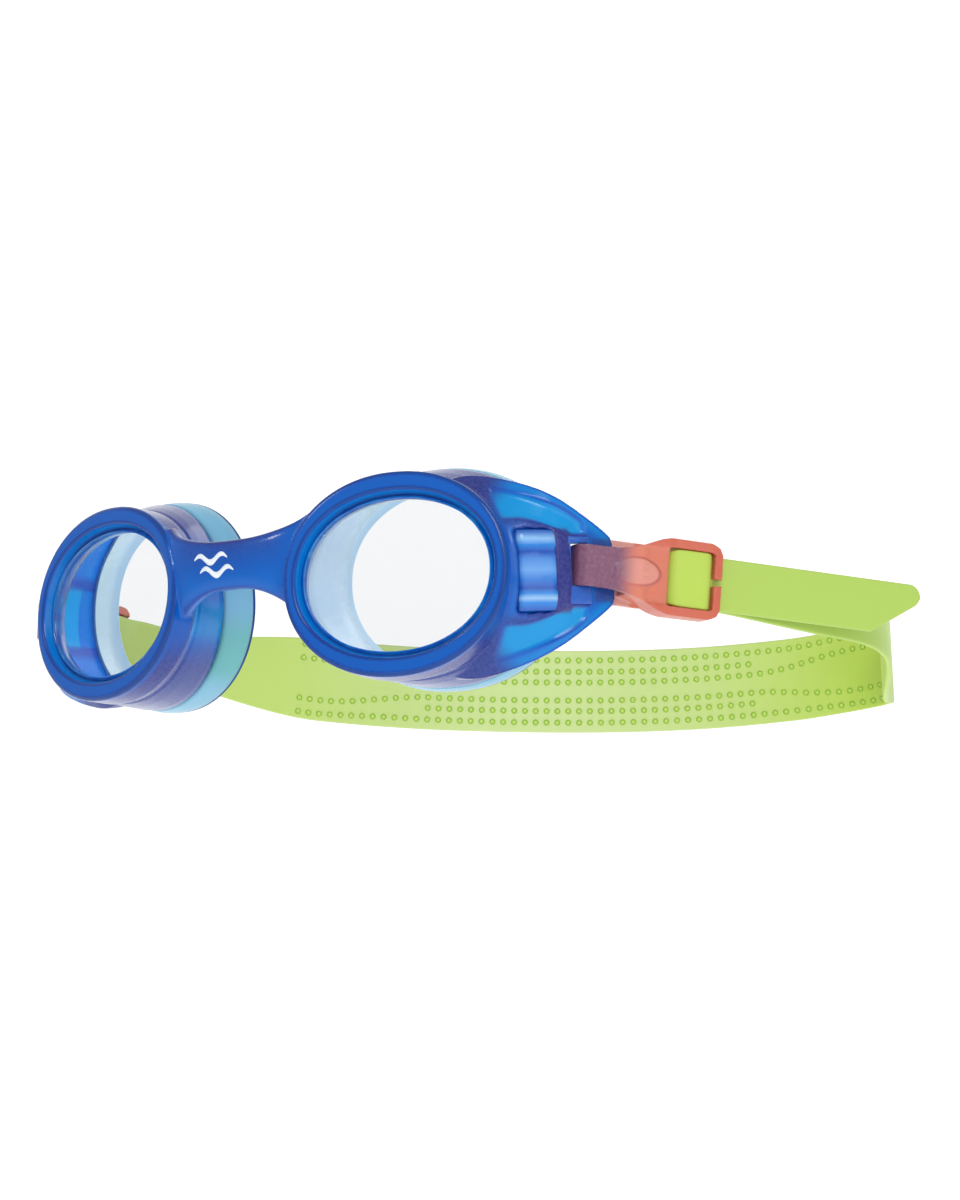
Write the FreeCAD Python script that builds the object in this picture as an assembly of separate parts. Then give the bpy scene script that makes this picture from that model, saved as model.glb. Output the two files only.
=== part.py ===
# Child's swim goggles: a soft one-piece frame with a nose bridge and two wings, two clear lenses
# whose outrigger arms line the strap slots, two soft face gaskets, two side clips that hook through
# the slots, and a silicone strap that wraps a bar in each clip and ends in a loose tail.
#
# Frame of the part, in millimetres: X across the face, +Y from the lenses back towards the head,
# +Z up. The origin is midway between the two gaskets, on the plane where their nose sides meet
# the face. Left and right are the wearer's, so left is +X. Each side's own shapes are made for
# the left and mirrored in the YZ plane.
import FreeCAD, Part
import math
import os

V = FreeCAD.Vector
LEFT, RIGHT = 1, -1

# ---- driving dimensions -------------------------------------------------------------------
CUP_HALF_SPACING = 35.3   # centre of a lens from the middle of the nose bridge
RIM_Y = -17.0             # centre of a front rim, ahead of the face plane
RIM_YAW = 13.0            # each rim faces this far outwards
RIM_PITCH = 7.0           # top of the rim leans back
RIM_HALF = (22.8, 20.0)   # front rim, half width and half height
LENS_HALF = (18.9, 14.9)  # clear face of a lens
LENS_FRONT = 1.4          # clear face behind the front of the rim
LENS_FLANGE = 5.0         # back of the lens flange behind the front of the rim
SEAT = 2.1                # cup's hollow beyond the clear face, behind the lens flange
WALL = 1.8                # cup wall
CLEAR = 0.1               # moulded pieces sit this far apart

CUP_BACK = (35.6, 1.2)          # centre of the cup's back edge, X and Y
CUP_BACK_HALF = (23.2, 21.6)
CUP_BACK_YAW = 17.0
LIP_CENTRE = (33.9, 6.2)        # centre of the gasket's face lip
LIP_HALF = (24.9, 22.0)
LIP_YAW = 14.5
LIP_WALL = 1.5
SLEEVE_START = 11.0       # the gasket's sleeve lines the cup from this far behind the rim's front

SLOT_AT = V(64.5, 3.0, -1.0)    # centre of the strap slot in a wing
WING_BETA = 28.0                # a wing runs back this far outwards of +Y
FLAP_HALF_T = 0.5
SLOT_Q = (-2.1, 2.0)            # slot along the wing, from its own centre
SLOT_HALF_H = 5.4
HINGE_Q = 4.8                   # a clip turns about the middle of the flap behind the slot
# sections of the wing, root first: place along it, outer face, half height, how far its upper and
# lower edges curl inwards, and thickness
WING_SECTIONS = [
    (-19.5, -2.2, 19.0, 14.0, 3.0), (-15.4, -0.6, 19.6, 11.5, 3.0), (-9.6, 1.0, 17.6, 6.6, 2.8),
    (-4.3, 1.5, 14.6, 2.6, 3.0), (1.9, 0.8, 10.4, 0.4, 1.6), (6.9, 0.5, 6.8, 0.0, 1.0),
    (7.6, 0.15, 5.4, 0.0, 0.3),
]

CLIP_BETA = {LEFT: 37.0, RIGHT: 6.0}  # the left clip stands further out than the right one
CLIP_LIFT = 0.4                 # clips ride this high in their slots
DROOP = 7.4                     # clips and strap hang this far below level
LOOP_HALF_GAP = 2.05            # room for the flap between a clip's neck and its back plate
NECK_T = 1.4
PLATE_T = 1.2
NECK_HALF_W = 4.0
HOOK_P = (-0.8, 0.5)            # the hook's bend along the clip
TAPER_P = 12.5                  # the neck's outer face starts to thin here
BODY_P = (9.5, 19.2)            # solid body between neck and window
WINDOW_END = 27.9
CLIP_END = 29.9
CLIP_HALF_W = 7.5
WINDOW_HALF_W = 5.6
BAR_P = (21.4, 25.0)            # bar that the strap wraps
BAR_HALF_T = 0.6
SPLIT_GAP = 1.4                 # gap between the prongs of the end bar
PRONG_N = 0.95                  # underside of the prongs, just above the tail

STRAP_T = 1.2
NARROW_HALF = 5.3
WIDE_HALF = 9.55
LAYER_GAP = 0.15                # strap off the bar it wraps
LAYER_N = BAR_HALF_T + LAYER_GAP + STRAP_T / 2
TAIL_START_P = 27.6
TAIL_END_P = 74.5
TAIL_N = 0.2                    # middle of the tail across the clip
TAIL_CUT = 10.5                 # the tail's lower edge ends this much sooner
TAIL_TIP_R = 2.4
JOINT_RADIUS = {LEFT: 73.0, RIGHT: 70.0}  # strap end meets the band on this arc round the clip's hinge
JOINT_GAP = 0.3

# middle of the strap band behind the head, from the left clip round to the right one
BAND_ROUTE = [
    (92.3, 47.5, -8.0), (97.2, 60.0, -10.0), (96.8, 72.0, -12.0), (91.4, 86.0, -13.6),
    (84.6, 100.0, -14.6), (78.2, 114.0, -14.8), (72.9, 127.0, -14.6), (70.6, 134.0, -14.4),
    (68.8, 139.3, -14.3), (65.8, 142.2, -14.4), (61.6, 141.7, -15.0), (54.0, 137.2, -16.2),
    (45.0, 131.5, -17.3), (28.0, 121.0, -18.2), (10.0, 110.0, -18.0), (-8.0, 99.0, -17.0),
    (-26.0, 88.0, -15.4), (-42.0, 78.0, -13.2), (-53.5, 66.5, -10.8), (-62.0, 52.5, -8.2),
]
TURN_AT = (112.0, 142.0)        # the strap doubles back between these lengths from the left clip's end
BAND_STEP, TURN_STEP = 5.0, 1.5  # between the strap's sections, elsewhere and in the turn
WIDEN_LEFT = (45.0, 105.0)      # the strap widens between these lengths from the left clip's end
WIDEN_RIGHT = (12.0, 54.0)


# ---- directions and places ----------------------------------------------------------------
def turn(degrees):
    return math.cos(math.radians(degrees)), math.sin(math.radians(degrees))


def wing_point(q, n, v):
    """A point of the +X wing: q along it towards the tip, n outwards, v up."""
    c, s = turn(WING_BETA)
    return SLOT_AT + V(s, c, 0) * q + V(c, -s, 0) * n + V(0, 0, v)


def clip_axes(side):
    """Along, up and outward directions of a clip at rest."""
    c, s = turn(CLIP_BETA[side])
    cd, sd = turn(DROOP)
    level = V(side * s, c, 0)
    along = level * cd - V(0, 0, sd)
    up = V(0, 0, cd) + level * sd
    out = V(side * c, -s, 0)
    return along, up, out


def hinge_point(side):
    h = wing_point(HINGE_Q, 0, CLIP_LIFT)
    return V(side * h.x, h.y, h.z)


def clip_point(side, p, v, n):
    """A point of a clip: p along it from the slot, v up, n outwards."""
    along, up, out = clip_axes(side)
    return hinge_point(side) + along * (p - HINGE_Q) + up * v + out * n


def mirrored(shape):
    return shape.mirror(V(0, 0, 0), V(1, 0, 0))


# ---- sections -----------------------------------------------------------------------------
def closed_wire(points):
    curve = Part.BSplineCurve()
    curve.interpolate(points, PeriodicFlag=True)
    return Part.Wire([curve.toShape()])


def oval(centre, yaw, pitch, half, squareness=2.1, count=20):
    """A closed oval, its long axis turned by yaw and its top leaning back by pitch."""
    c, s = turn(yaw)
    cp, sp = turn(pitch)
    across, up = V(c, s, 0), V(-s * sp, c * sp, cp)
    points = []
    for k in range(count):
        a = 2 * math.pi * k / count
        x = math.copysign(abs(math.cos(a)) ** (2 / squareness), math.cos(a)) * half[0]
        z = math.copysign(abs(math.sin(a)) ** (2 / squareness), math.sin(a)) * half[1]
        points.append(centre + across * x + up * z)
    return closed_wire(points)


def rim_oval(half, depth):
    """An oval parallel to the front rim, depth behind it."""
    c, s = turn(RIM_YAW)
    cp, sp = turn(RIM_PITCH)
    back = V(-s * cp, c * cp, -sp)
    return oval(V(CUP_HALF_SPACING, RIM_Y, 0) + back * depth, RIM_YAW, RIM_PITCH, half)


def back_oval(inset, forward=0.0):
    c, s = turn(CUP_BACK_YAW)
    centre = V(CUP_BACK[0] + s * forward, CUP_BACK[1] - c * forward, 0)
    half = (CUP_BACK_HALF[0] - inset, CUP_BACK_HALF[1] - inset)
    return oval(centre, CUP_BACK_YAW, 0, half)


def lip_oval(inset, back=0.0):
    c, s = turn(LIP_YAW)
    centre = V(LIP_CENTRE[0] - s * back, LIP_CENTRE[1] + c * back, 0)
    half = (LIP_HALF[0] - inset, LIP_HALF[1] - inset)
    return oval(centre, LIP_YAW, 0, half)


def loft(*wires, ruled=False):
    return Part.makeLoft(list(wires), True, ruled)


def prism(points, direction):
    """A flat polygon pushed along direction."""
    face = Part.Face(Part.makePolygon(points + [points[0]]))
    return face.extrude(direction)


# ---- frame, lenses and gaskets -------------------------------------------------------------
def lens_plate(grow=0.0):
    """The lens without its arm; grow makes the pocket it leaves in the frame."""
    face = (LENS_HALF[0] + grow, LENS_HALF[1] + grow)
    step = (LENS_HALF[0] + 1.1 + grow, LENS_HALF[1] + 1.1 + grow)
    flange = (LENS_HALF[0] + 2.4 + grow, LENS_HALF[1] + 2.4 + grow)
    bevel = loft(rim_oval(face, LENS_FRONT - grow), rim_oval(step, LENS_FRONT + 1.0), ruled=True)
    neck = loft(rim_oval(step, LENS_FRONT + 1.0), rim_oval(step, 3.6), ruled=True)
    base = loft(rim_oval(flange, 3.4 - grow), rim_oval(flange, LENS_FLANGE), ruled=True)
    return bevel.fuse([neck, base])


def outrigger(grow=0.0):
    """Arm from the lens flange to a loop that lines the slot in the wing."""
    low = -5.0 - grow
    q0, q1, h = SLOT_Q[0] - 1.4, SLOT_Q[1] + 0.6, SLOT_HALF_H + 1.4
    arm = prism(
        [wing_point(-15.0, -3.9 - grow, low), wing_point(-15.0, -2.3 + grow, low),
         wing_point(q0 + 0.4, 0.8 + grow, low), wing_point(q0 + 0.4, -0.8 - grow, low)],
        V(0, 0, 2 * (5.0 + grow)))
    half_t = FLAP_HALF_T + 0.3
    loop = prism(
        [wing_point(q0 - grow, -half_t - grow, -h - grow), wing_point(q1 + grow, -half_t - grow, -h - grow),
         wing_point(q1 + grow, half_t + grow, -h - grow), wing_point(q0 - grow, half_t + grow, -h - grow)],
        V(0, 0, 2 * (h + grow)))
    return arm.fuse(loop)


def slot_cutter():
    reach = 6.0
    return prism(
        [wing_point(SLOT_Q[0], -reach, -SLOT_HALF_H), wing_point(SLOT_Q[1], -reach, -SLOT_HALF_H),
         wing_point(SLOT_Q[1], reach, -SLOT_HALF_H), wing_point(SLOT_Q[0], reach, -SLOT_HALF_H)],
        V(0, 0, 2 * SLOT_HALF_H))


def make_lens():
    relief = loft(rim_oval((LENS_HALF[0] + 0.2, LENS_HALF[1] + 0.2), 3.2),
                  rim_oval((LENS_HALF[0] + 0.2, LENS_HALF[1] + 0.2), LENS_FLANGE + 1), ruled=True)
    lens = lens_plate().cut(relief).fuse(outrigger().cut(relief))
    return lens.cut(slot_cutter()).removeSplitter()


def wing_section(q, face, half, curl, thick):
    """A section across the wing, its upper and lower edges curling inwards."""
    steps = 12
    outer = []
    for k in range(steps + 1):
        t = 2 * k / steps - 1
        outer.append((face - curl * t * t, half * t))
    points = [wing_point(q, n, v) for n, v in outer]
    points += [wing_point(q, n - thick, v) for n, v in reversed(outer)]
    return Part.makePolygon(points + [points[0]])


def make_wing():
    """Fin from the cup's outer side to the tip, curled at the root and flat at the flap."""
    return loft(*[wing_section(*section) for section in WING_SECTIONS], ruled=True)


def bridge_section(x, y, z, half_t, half_h):
    points = []
    for k in range(16):
        a = 2 * math.pi * k / 16
        c, s = math.cos(a), math.sin(a)
        points.append(V(x, y + half_t * math.copysign(abs(c) ** 0.8, c),
                        z + half_h * math.copysign(abs(s) ** 0.8, s)))
    return closed_wire(points)


def make_bridge():
    half = [(0, -20.4, 4.4, 1.9, 4.9), (5.5, -20.2, 4.3, 2.0, 5.2), (10.5, -19.4, 3.7, 2.3, 6.7),
            (14.5, -18.0, 2.8, 2.7, 9.0), (17.5, -16.4, 2.2, 2.7, 11.6)]
    stations = [(-x, y, z, t, h) for x, y, z, t, h in reversed(half[1:])] + half
    return loft(*[bridge_section(*s) for s in stations])


def make_cup():
    """A cup in two stages, each hollowed out: the rim round the lens, and the wall behind it."""
    width, height = RIM_HALF
    face_half = (width - 0.7, height - 0.7)
    rim = loft(rim_oval(face_half, 0.0), rim_oval(RIM_HALF, 0.9), rim_oval(RIM_HALF, LENS_FLANGE), ruled=True)
    wall = loft(rim_oval(RIM_HALF, LENS_FLANGE), back_oval(0.0))
    return rim.cut(lens_mouth()).cut(lens_plate(CLEAR)).fuse(wall.cut(cup_hollow()))


def lens_mouth():
    """Bevelled opening in front of the lens."""
    front = (LENS_HALF[0] + 1.4, LENS_HALF[1] + 1.4)
    back = (LENS_HALF[0] + 0.6, LENS_HALF[1] + 0.6)
    return loft(rim_oval(front, -1.0), rim_oval(back, LENS_FRONT + 1.3), ruled=True)


def cup_hollow():
    seat = (LENS_HALF[0] + SEAT, LENS_HALF[1] + SEAT)
    return loft(rim_oval(seat, LENS_FLANGE - 0.1), back_oval(WALL, forward=-0.5))


def without_cup_spaces(shape, mirror_too=False):
    for tool in (cup_hollow(), lens_plate(CLEAR), lens_mouth()):
        shape = shape.cut(tool)
        if mirror_too:
            shape = shape.cut(mirrored(tool))
    return shape


def make_frame():
    side = make_cup().fuse(without_cup_spaces(make_wing()))
    frame = side.fuse(mirrored(side)).fuse(without_cup_spaces(make_bridge(), mirror_too=True))
    for tool in (outrigger(CLEAR / 2), slot_cutter()):
        frame = frame.cut(tool).cut(mirrored(tool))
    return frame


def make_gasket():
    seat = (LENS_HALF[0] + SEAT - CLEAR, LENS_HALF[1] + SEAT - CLEAR)
    wide = (RIM_HALF[0] + 5, RIM_HALF[1] + 5)
    sleeve = loft(rim_oval(seat, LENS_FLANGE + CLEAR), back_oval(WALL + CLEAR, forward=-0.6))
    sleeve = sleeve.cut(loft(rim_oval(wide, 0.0), rim_oval(wide, SLEEVE_START), ruled=True))
    skirt = loft(back_oval(0.0, forward=-CLEAR), lip_oval(0.6, back=-0.6), lip_oval(0.0))
    bore = loft(rim_oval((seat[0] - 1.3, seat[1] - 1.3), LENS_FLANGE - 1),
                back_oval(WALL + 1.3), lip_oval(LIP_WALL + 0.6, back=0.8))
    return sleeve.fuse(skirt).cut(bore)


# ---- side clips ---------------------------------------------------------------------------
def clip_block(side, p, v, n):
    """A block of a clip between two values along, up and outwards."""
    corners = [clip_point(side, p[0], v[0], n[0]), clip_point(side, p[1], v[0], n[0]),
               clip_point(side, p[1], v[0], n[1]), clip_point(side, p[0], v[0], n[1])]
    return prism(corners, clip_axes(side)[1] * (v[1] - v[0]))


def clip_outline(side):
    """The clip seen square on: narrow neck, flared shoulders and a rounded end."""
    w = CLIP_HALF_W
    upper = [(HOOK_P[0], NECK_HALF_W), (5.5, NECK_HALF_W), (9.8, 4.6), (13.6, 5.7), (16.4, 7.1),
             (18.4, w), (CLIP_END - 2.6, w), (CLIP_END - 0.8, w - 0.9), (CLIP_END, w - 2.8)]
    points = [clip_point(side, p, v, -6) for p, v in upper]
    points += [clip_point(side, p, -v, -6) for p, v in reversed(upper)]
    return prism(points, clip_axes(side)[2] * 12)


def make_clip(side):
    outer = LOOP_HALF_GAP + NECK_T
    inner = -LOOP_HALF_GAP - PLATE_T
    wide = (-CLIP_HALF_W, CLIP_HALF_W)
    profile = [(HOOK_P[0], inner + 0.6), (HOOK_P[0] + 0.6, inner), (3.2, inner),
               (3.2, -LOOP_HALF_GAP), (HOOK_P[1] + 0.4, -LOOP_HALF_GAP), (HOOK_P[1], -LOOP_HALF_GAP + 0.4),
               (HOOK_P[1], LOOP_HALF_GAP - 0.4), (HOOK_P[1] + 0.4, LOOP_HALF_GAP), (BODY_P[0], LOOP_HALF_GAP),
               (BODY_P[0], -LOOP_HALF_GAP), (3.8, -LOOP_HALF_GAP), (3.8, inner), (TAPER_P, inner),
               (BODY_P[1], -2.2), (WINDOW_END, -1.6), (WINDOW_END + 0.6, PRONG_N), (CLIP_END, PRONG_N),
               (CLIP_END, 2.3), (WINDOW_END, 2.5), (BODY_P[1], 2.6), (TAPER_P, outer), (HOOK_P[0] + 0.8, outer),
               (HOOK_P[0], outer - 0.8)]
    shape = prism([clip_point(side, p, -9, n) for p, n in profile], clip_axes(side)[1] * 18)
    narrow = shape.common(clip_outline(side))
    # the back plate is wider than the neck in front of it
    plate_room = clip_block(side, (3.8, BODY_P[0] + 4), (-6.6, 6.6), (inner, -LOOP_HALF_GAP))
    body = narrow.fuse(plate_room)
    body = body.cut(clip_block(side, (BODY_P[1], WINDOW_END), (-WINDOW_HALF_W, WINDOW_HALF_W), (-6, 6)))
    body = body.cut(clip_block(side, (WINDOW_END - 1, CLIP_END + 1), (-SPLIT_GAP / 2, SPLIT_GAP / 2), (-6, 6)))
    body = body.cut(clip_block(side, (WINDOW_END - 1, CLIP_END + 1), (-WINDOW_HALF_W, WINDOW_HALF_W),
                               (-6, PRONG_N)))
    bar = clip_block(side, BAR_P, (-WINDOW_HALF_W - 0.6, WINDOW_HALF_W + 0.6), (-BAR_HALF_T, BAR_HALF_T))
    return body.fuse(bar).removeSplitter()


# ---- strap --------------------------------------------------------------------------------
def wrap_solid(side):
    """The turn of strap round the bar: in along the back, round the bar and out under the prongs."""
    t, n = STRAP_T / 2, LAYER_N
    r_in, r_out = n - t, n + t
    p0 = BAR_P[0]
    arc_in = [(p0 - r_in * math.sin(a), r_in * math.cos(a)) for a in [math.pi * k / 8 for k in range(9)]]
    arc_out = [(p0 - r_out * math.sin(a), r_out * math.cos(a)) for a in [math.pi * k / 8 for k in range(9)]]
    end = TAIL_START_P
    outline = [(end, TAIL_N + t), (end - 0.8, TAIL_N + t + 0.15), (end - 1.8, r_out - 0.25), (end - 2.9, r_out)]
    outline += arc_out + [(end, -r_out), (end, -r_in)] + list(reversed(arc_in))
    outline += [(end - 2.4, r_in), (end - 1.5, 0.05), (end - 0.5, TAIL_N - t), (end, TAIL_N - t)]
    up = clip_axes(side)[1]
    return prism([clip_point(side, p, -NARROW_HALF, m) for p, m in outline], up * (2 * NARROW_HALF))


def tail_outline():
    """Outline of a tail: square at the clip, the tip rounded above a slanting lower edge."""
    h, r = NARROW_HALF - 0.05, TAIL_TIP_R
    tip_p, tip_v = TAIL_END_P - r, h - r
    heel_p = TAIL_END_P - TAIL_CUT
    slope = math.atan2(tip_v + h, tip_p - heel_p) - math.asin(r / math.hypot(tip_v + h, tip_p - heel_p))
    steps = 8
    points = [(TAIL_START_P + 0.05, -h), (heel_p, -h)]
    for k in range(steps + 1):
        a = (slope - math.pi / 2) * (1 - k / steps) + math.pi / 2 * k / steps
        points.append((tip_p + r * math.cos(a), tip_v + r * math.sin(a)))
    return points + [(TAIL_START_P + 0.05, h)]


def tail_solid(side):
    """The loose tail, straight behind the prongs, its end cut slanting."""
    inner = TAIL_N - STRAP_T / 2
    return prism([clip_point(side, p, v, inner) for p, v in tail_outline()], clip_axes(side)[2] * STRAP_T)


def band_line():
    """The strap's middle line, from under the left clip's bar to under the right one's."""
    leads = [(TAIL_START_P, -LAYER_N), (CLIP_END, -LAYER_N - 0.1), (CLIP_END + 5, -LAYER_N - 1.2)]
    first = [clip_point(LEFT, p, 0, n) for p, n in leads]
    last = [clip_point(RIGHT, p, 0, n) for p, n in reversed(leads)]
    curve = Part.BSplineCurve()
    curve.interpolate(first + [V(*p) for p in BAND_ROUTE] + last)
    return curve


def smooth(value, low, high):
    x = min(1.0, max(0.0, (value - low) / (high - low)))
    return x * x * (3 - 2 * x)


def half_width(s, total):
    """Half the strap's width at s along a line of that total length."""
    grown = min(smooth(s, *WIDEN_LEFT), smooth(total - s, *WIDEN_RIGHT))
    return NARROW_HALF + (WIDE_HALF - NARROW_HALF) * grown


def section_lengths(total):
    """Places of the strap's sections, closer together in the turn."""
    lengths = [0.0]
    while lengths[-1] < total - BAND_STEP:
        in_turn = TURN_AT[0] < lengths[-1] < TURN_AT[1]
        lengths.append(lengths[-1] + (TURN_STEP if in_turn else BAND_STEP))
    return lengths + [total]


def band_sections(curve, lengths):
    """Rectangles square to the line, upright, at those lengths along it."""
    total = curve.length()
    wires = []
    for s in lengths:
        u = curve.parameterAtDistance(s, curve.FirstParameter)
        at, along = curve.value(u), curve.tangent(u)[0]
        up = V(0, 0, 1) - along * along.z
        up.normalize()
        out = along.cross(up)
        h, t = half_width(s, total), STRAP_T / 2
        corners = [at + up * h + out * t, at + up * h - out * t, at - up * h - out * t, at - up * h + out * t]
        wires.append(Part.makePolygon(corners + [corners[0]]))
    return wires


def joint_cylinder(side, radius):
    """Everything within radius of a clip's hinge axis."""
    up = clip_axes(side)[1]
    return Part.makeCylinder(radius, 120, hinge_point(side) - up * 60, up)


def make_strap():
    """The band behind the head, and the two ends that stay with the clips."""
    curve = band_line()
    total = curve.length()
    band = loft(*band_sections(curve, section_lengths(total)))
    ends = {}
    for side in (LEFT, RIGHT):
        near = joint_cylinder(side, JOINT_RADIUS[side])
        ends[side] = band.common(near)
    for side in (LEFT, RIGHT):
        band = band.cut(joint_cylinder(side, JOINT_RADIUS[side] + JOINT_GAP))
    return band, {side: end.fuse(wrap_solid(side)).removeSplitter() for side, end in ends.items()}


# ---- build --------------------------------------------------------------------------------
def main():
    os.makedirs("parts", exist_ok=True)
    lens, gasket = make_lens(), make_gasket()
    band, ends = make_strap()
    parts = {"frame": make_frame(), "strap_band": band}
    for side, name in ((LEFT, "left"), (RIGHT, "right")):
        parts["lens_" + name] = lens if side == LEFT else mirrored(lens)
        parts["gasket_" + name] = gasket if side == LEFT else mirrored(gasket)
        parts["clip_" + name] = make_clip(side)
        parts["strap_end_" + name] = ends[side]
        parts["strap_tail_" + name] = tail_solid(side)
    for name, shape in parts.items():
        print(name, "solids", len(shape.Solids), "valid", shape.isValid(), "mm3", round(shape.Volume, 1))
        shape.exportStep(os.path.join("parts", name + ".step"))
    print("strap length between clips", round(band_line().length(), 1))
    for side in (LEFT, RIGHT):
        print("hinge", side, hinge_point(side), "axis", clip_axes(side)[1], "along", clip_axes(side)[0])


main()
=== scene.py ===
# Child's swim goggles: the finished look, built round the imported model.
# Lengths are millimetres in the part's own frame until a mesh is made.
import math

import bmesh
import bpy
import numpy as np
from mathutils import Matrix, Vector
from mathutils.bvhtree import BVHTree


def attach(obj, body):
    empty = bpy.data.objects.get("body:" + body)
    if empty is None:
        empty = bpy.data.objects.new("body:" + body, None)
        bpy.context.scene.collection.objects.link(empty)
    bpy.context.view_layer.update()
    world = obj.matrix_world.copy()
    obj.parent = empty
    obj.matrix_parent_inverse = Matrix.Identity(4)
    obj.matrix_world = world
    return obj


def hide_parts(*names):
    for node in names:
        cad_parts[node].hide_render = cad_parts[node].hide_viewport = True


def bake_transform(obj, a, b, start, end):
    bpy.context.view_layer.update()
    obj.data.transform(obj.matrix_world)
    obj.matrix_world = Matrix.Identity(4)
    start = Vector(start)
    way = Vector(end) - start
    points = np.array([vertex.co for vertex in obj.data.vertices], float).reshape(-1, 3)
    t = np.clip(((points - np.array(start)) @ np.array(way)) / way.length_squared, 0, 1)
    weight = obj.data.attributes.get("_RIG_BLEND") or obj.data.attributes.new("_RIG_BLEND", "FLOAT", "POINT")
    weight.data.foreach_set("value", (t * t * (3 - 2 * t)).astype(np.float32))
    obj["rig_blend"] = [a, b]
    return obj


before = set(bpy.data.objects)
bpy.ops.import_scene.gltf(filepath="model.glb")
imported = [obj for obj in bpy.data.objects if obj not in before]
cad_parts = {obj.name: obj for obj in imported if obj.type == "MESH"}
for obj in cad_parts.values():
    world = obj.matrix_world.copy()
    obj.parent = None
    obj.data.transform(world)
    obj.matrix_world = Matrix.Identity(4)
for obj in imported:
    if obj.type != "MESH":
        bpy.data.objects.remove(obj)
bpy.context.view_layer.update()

MM = 0.001
LEFT, RIGHT = 1, -1
SIDE_NAMES = {LEFT: "left", RIGHT: "right"}

# ---- the part's own dimensions ----
RIM_CENTRE, RIM_YAW, RIM_PITCH = np.array([35.3, -17.0, 0.0]), 13.0, 7.0
RIM_HALF = np.array([22.8, 20.0])
LENS_HALF = np.array([18.9, 14.9])
SEAT_DEPTH = 5.0                  # the cup's wall starts behind the lens flange
CUP_DEPTH = 17.0
BACK_CENTRE, BACK_YAW, BACK_HALF = np.array([35.6, 1.2, 0.0]), 17.0, np.array([23.2, 21.6])
LIP_CENTRE, LIP_YAW, LIP_HALF = np.array([33.9, 6.2, 0.0]), 14.5, np.array([24.9, 22.0])
SQUARENESS = 2.1
AROUND = 128                      # points round an oval

SLOT_AT, WING_BETA = np.array([64.5, 3.0, -1.0]), 28.0
SLOT_Q, SLOT_HALF_H = (-2.1, 2.0), 5.4
HINGE_Q = 4.8
# place along the wing, outer face, half height, inward curl of the edges, thickness
WING_SECTIONS = [
    (-19.5, -2.2, 19.0, 14.0, 3.0), (-15.4, -0.6, 19.6, 11.5, 3.0), (-9.6, 1.0, 17.6, 6.6, 2.8),
    (-4.3, 1.5, 14.6, 2.6, 3.0), (1.9, 0.8, 10.4, 0.4, 1.6), (6.9, 0.5, 6.8, 0.0, 1.0),
    (7.6, 0.15, 5.4, 0.0, 0.3),
]
# bridge: x, y, z, half thickness, half height
BRIDGE = [(0, -20.4, 4.4, 1.9, 4.9), (5.5, -20.2, 4.3, 2.0, 5.2), (10.5, -19.4, 3.7, 2.3, 6.7),
          (14.5, -18.0, 2.8, 2.7, 9.0), (17.5, -16.4, 2.2, 2.7, 11.6)]

CLIP_BETA, DROOP, CLIP_LIFT = {LEFT: 37.0, RIGHT: 6.0}, 7.4, 0.4
GAP_N, NECK_T, PLATE_T = 2.05, 1.4, 1.2
NECK_HALF_W, CLIP_HALF_W = 4.0, 7.5
WINDOW_P, WINDOW_HALF_W, CLIP_END = (19.2, 27.9), 5.6, 29.9
BAR_P, BAR_HALF_T, PRONG_N = (21.4, 25.0), 0.6, 0.95
WRAP_P, WRAP_RISE = 21.1, 0.5    # the turn of strap swells a little above the bar
SPLIT_HALF = 0.85
PAD_P, PAD_HALF = 11.3, (4.9, 2.6)   # raised thumb pad on a clip's neck
STRAP_T, LAYER_N, TAIL_N = 1.2, 1.35, 0.2
NARROW_HALF, WIDE_HALF = 5.3, 9.55
STRAP_JOIN_P, TAIL_END_P, TAIL_CUT, TAIL_TIP_R = 28.2, 74.5, 10.5, 2.4
LEAD_S, WRAPPED_S = 19.3, 22.3    # where the free band starts, and how far a strap end stays square
WRAP_SWELL, WRAP_SWELL_S = 0.32, (8, 11)
BAND_ROUTE = [
    (92.3, 47.5, -8.0), (97.2, 60.0, -10.0), (96.8, 72.0, -12.0), (91.4, 86.0, -13.6),
    (84.6, 100.0, -14.6), (78.2, 114.0, -14.8), (72.9, 127.0, -14.6), (70.6, 134.0, -14.4),
    (68.8, 139.3, -14.3), (65.8, 142.2, -14.4), (61.6, 141.7, -15.0), (54.0, 137.2, -16.2),
    (45.0, 131.5, -17.3), (28.0, 121.0, -18.2), (10.0, 110.0, -18.0), (-8.0, 99.0, -17.0),
    (-26.0, 88.0, -15.4), (-42.0, 78.0, -13.2), (-53.5, 66.5, -10.8), (-62.0, 52.5, -8.2),
]
WIDEN_LEFT, WIDEN_RIGHT = (45.0, 105.0), (12.0, 54.0)
BEND_Y = {LEFT: (66.0, 112.0), RIGHT: (46.0, 92.0)}   # where the strap bends as a clip turns

# ---- grip dots ----
DOT_PITCH, DOT_RADIUS = 2.5, 0.7
DOT_COLUMNS, DOT_FULL_COLUMNS = 55, 31
DOT_FIRST_S = 132.0               # first column, along the strap from the left clip
DOT_ROWS = (0.12, 0.26, 0.39)     # rows of a band, as shares of the width from its edge

# ---- view ----
VIEW_AZIMUTH, VIEW_ELEVATION, VIEW_ROLL = 31.5, -5.0, -2.5
VIEW_DISTANCE, VIEW_RIGHT, VIEW_UP = 560.0, 37.6, -1.4
VIEW_LENS = 83.2


# ---- curves and directions ----
def turn(degrees):
    return math.cos(math.radians(degrees)), math.sin(math.radians(degrees))


def ease(x, low, high):
    t = np.clip((x - low) / (high - low), 0, 1)
    return t * t * (3 - 2 * t)


def fade(x, low, high):
    """One below low, zero above high."""
    return 1 - ease(x, low, high)


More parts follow.
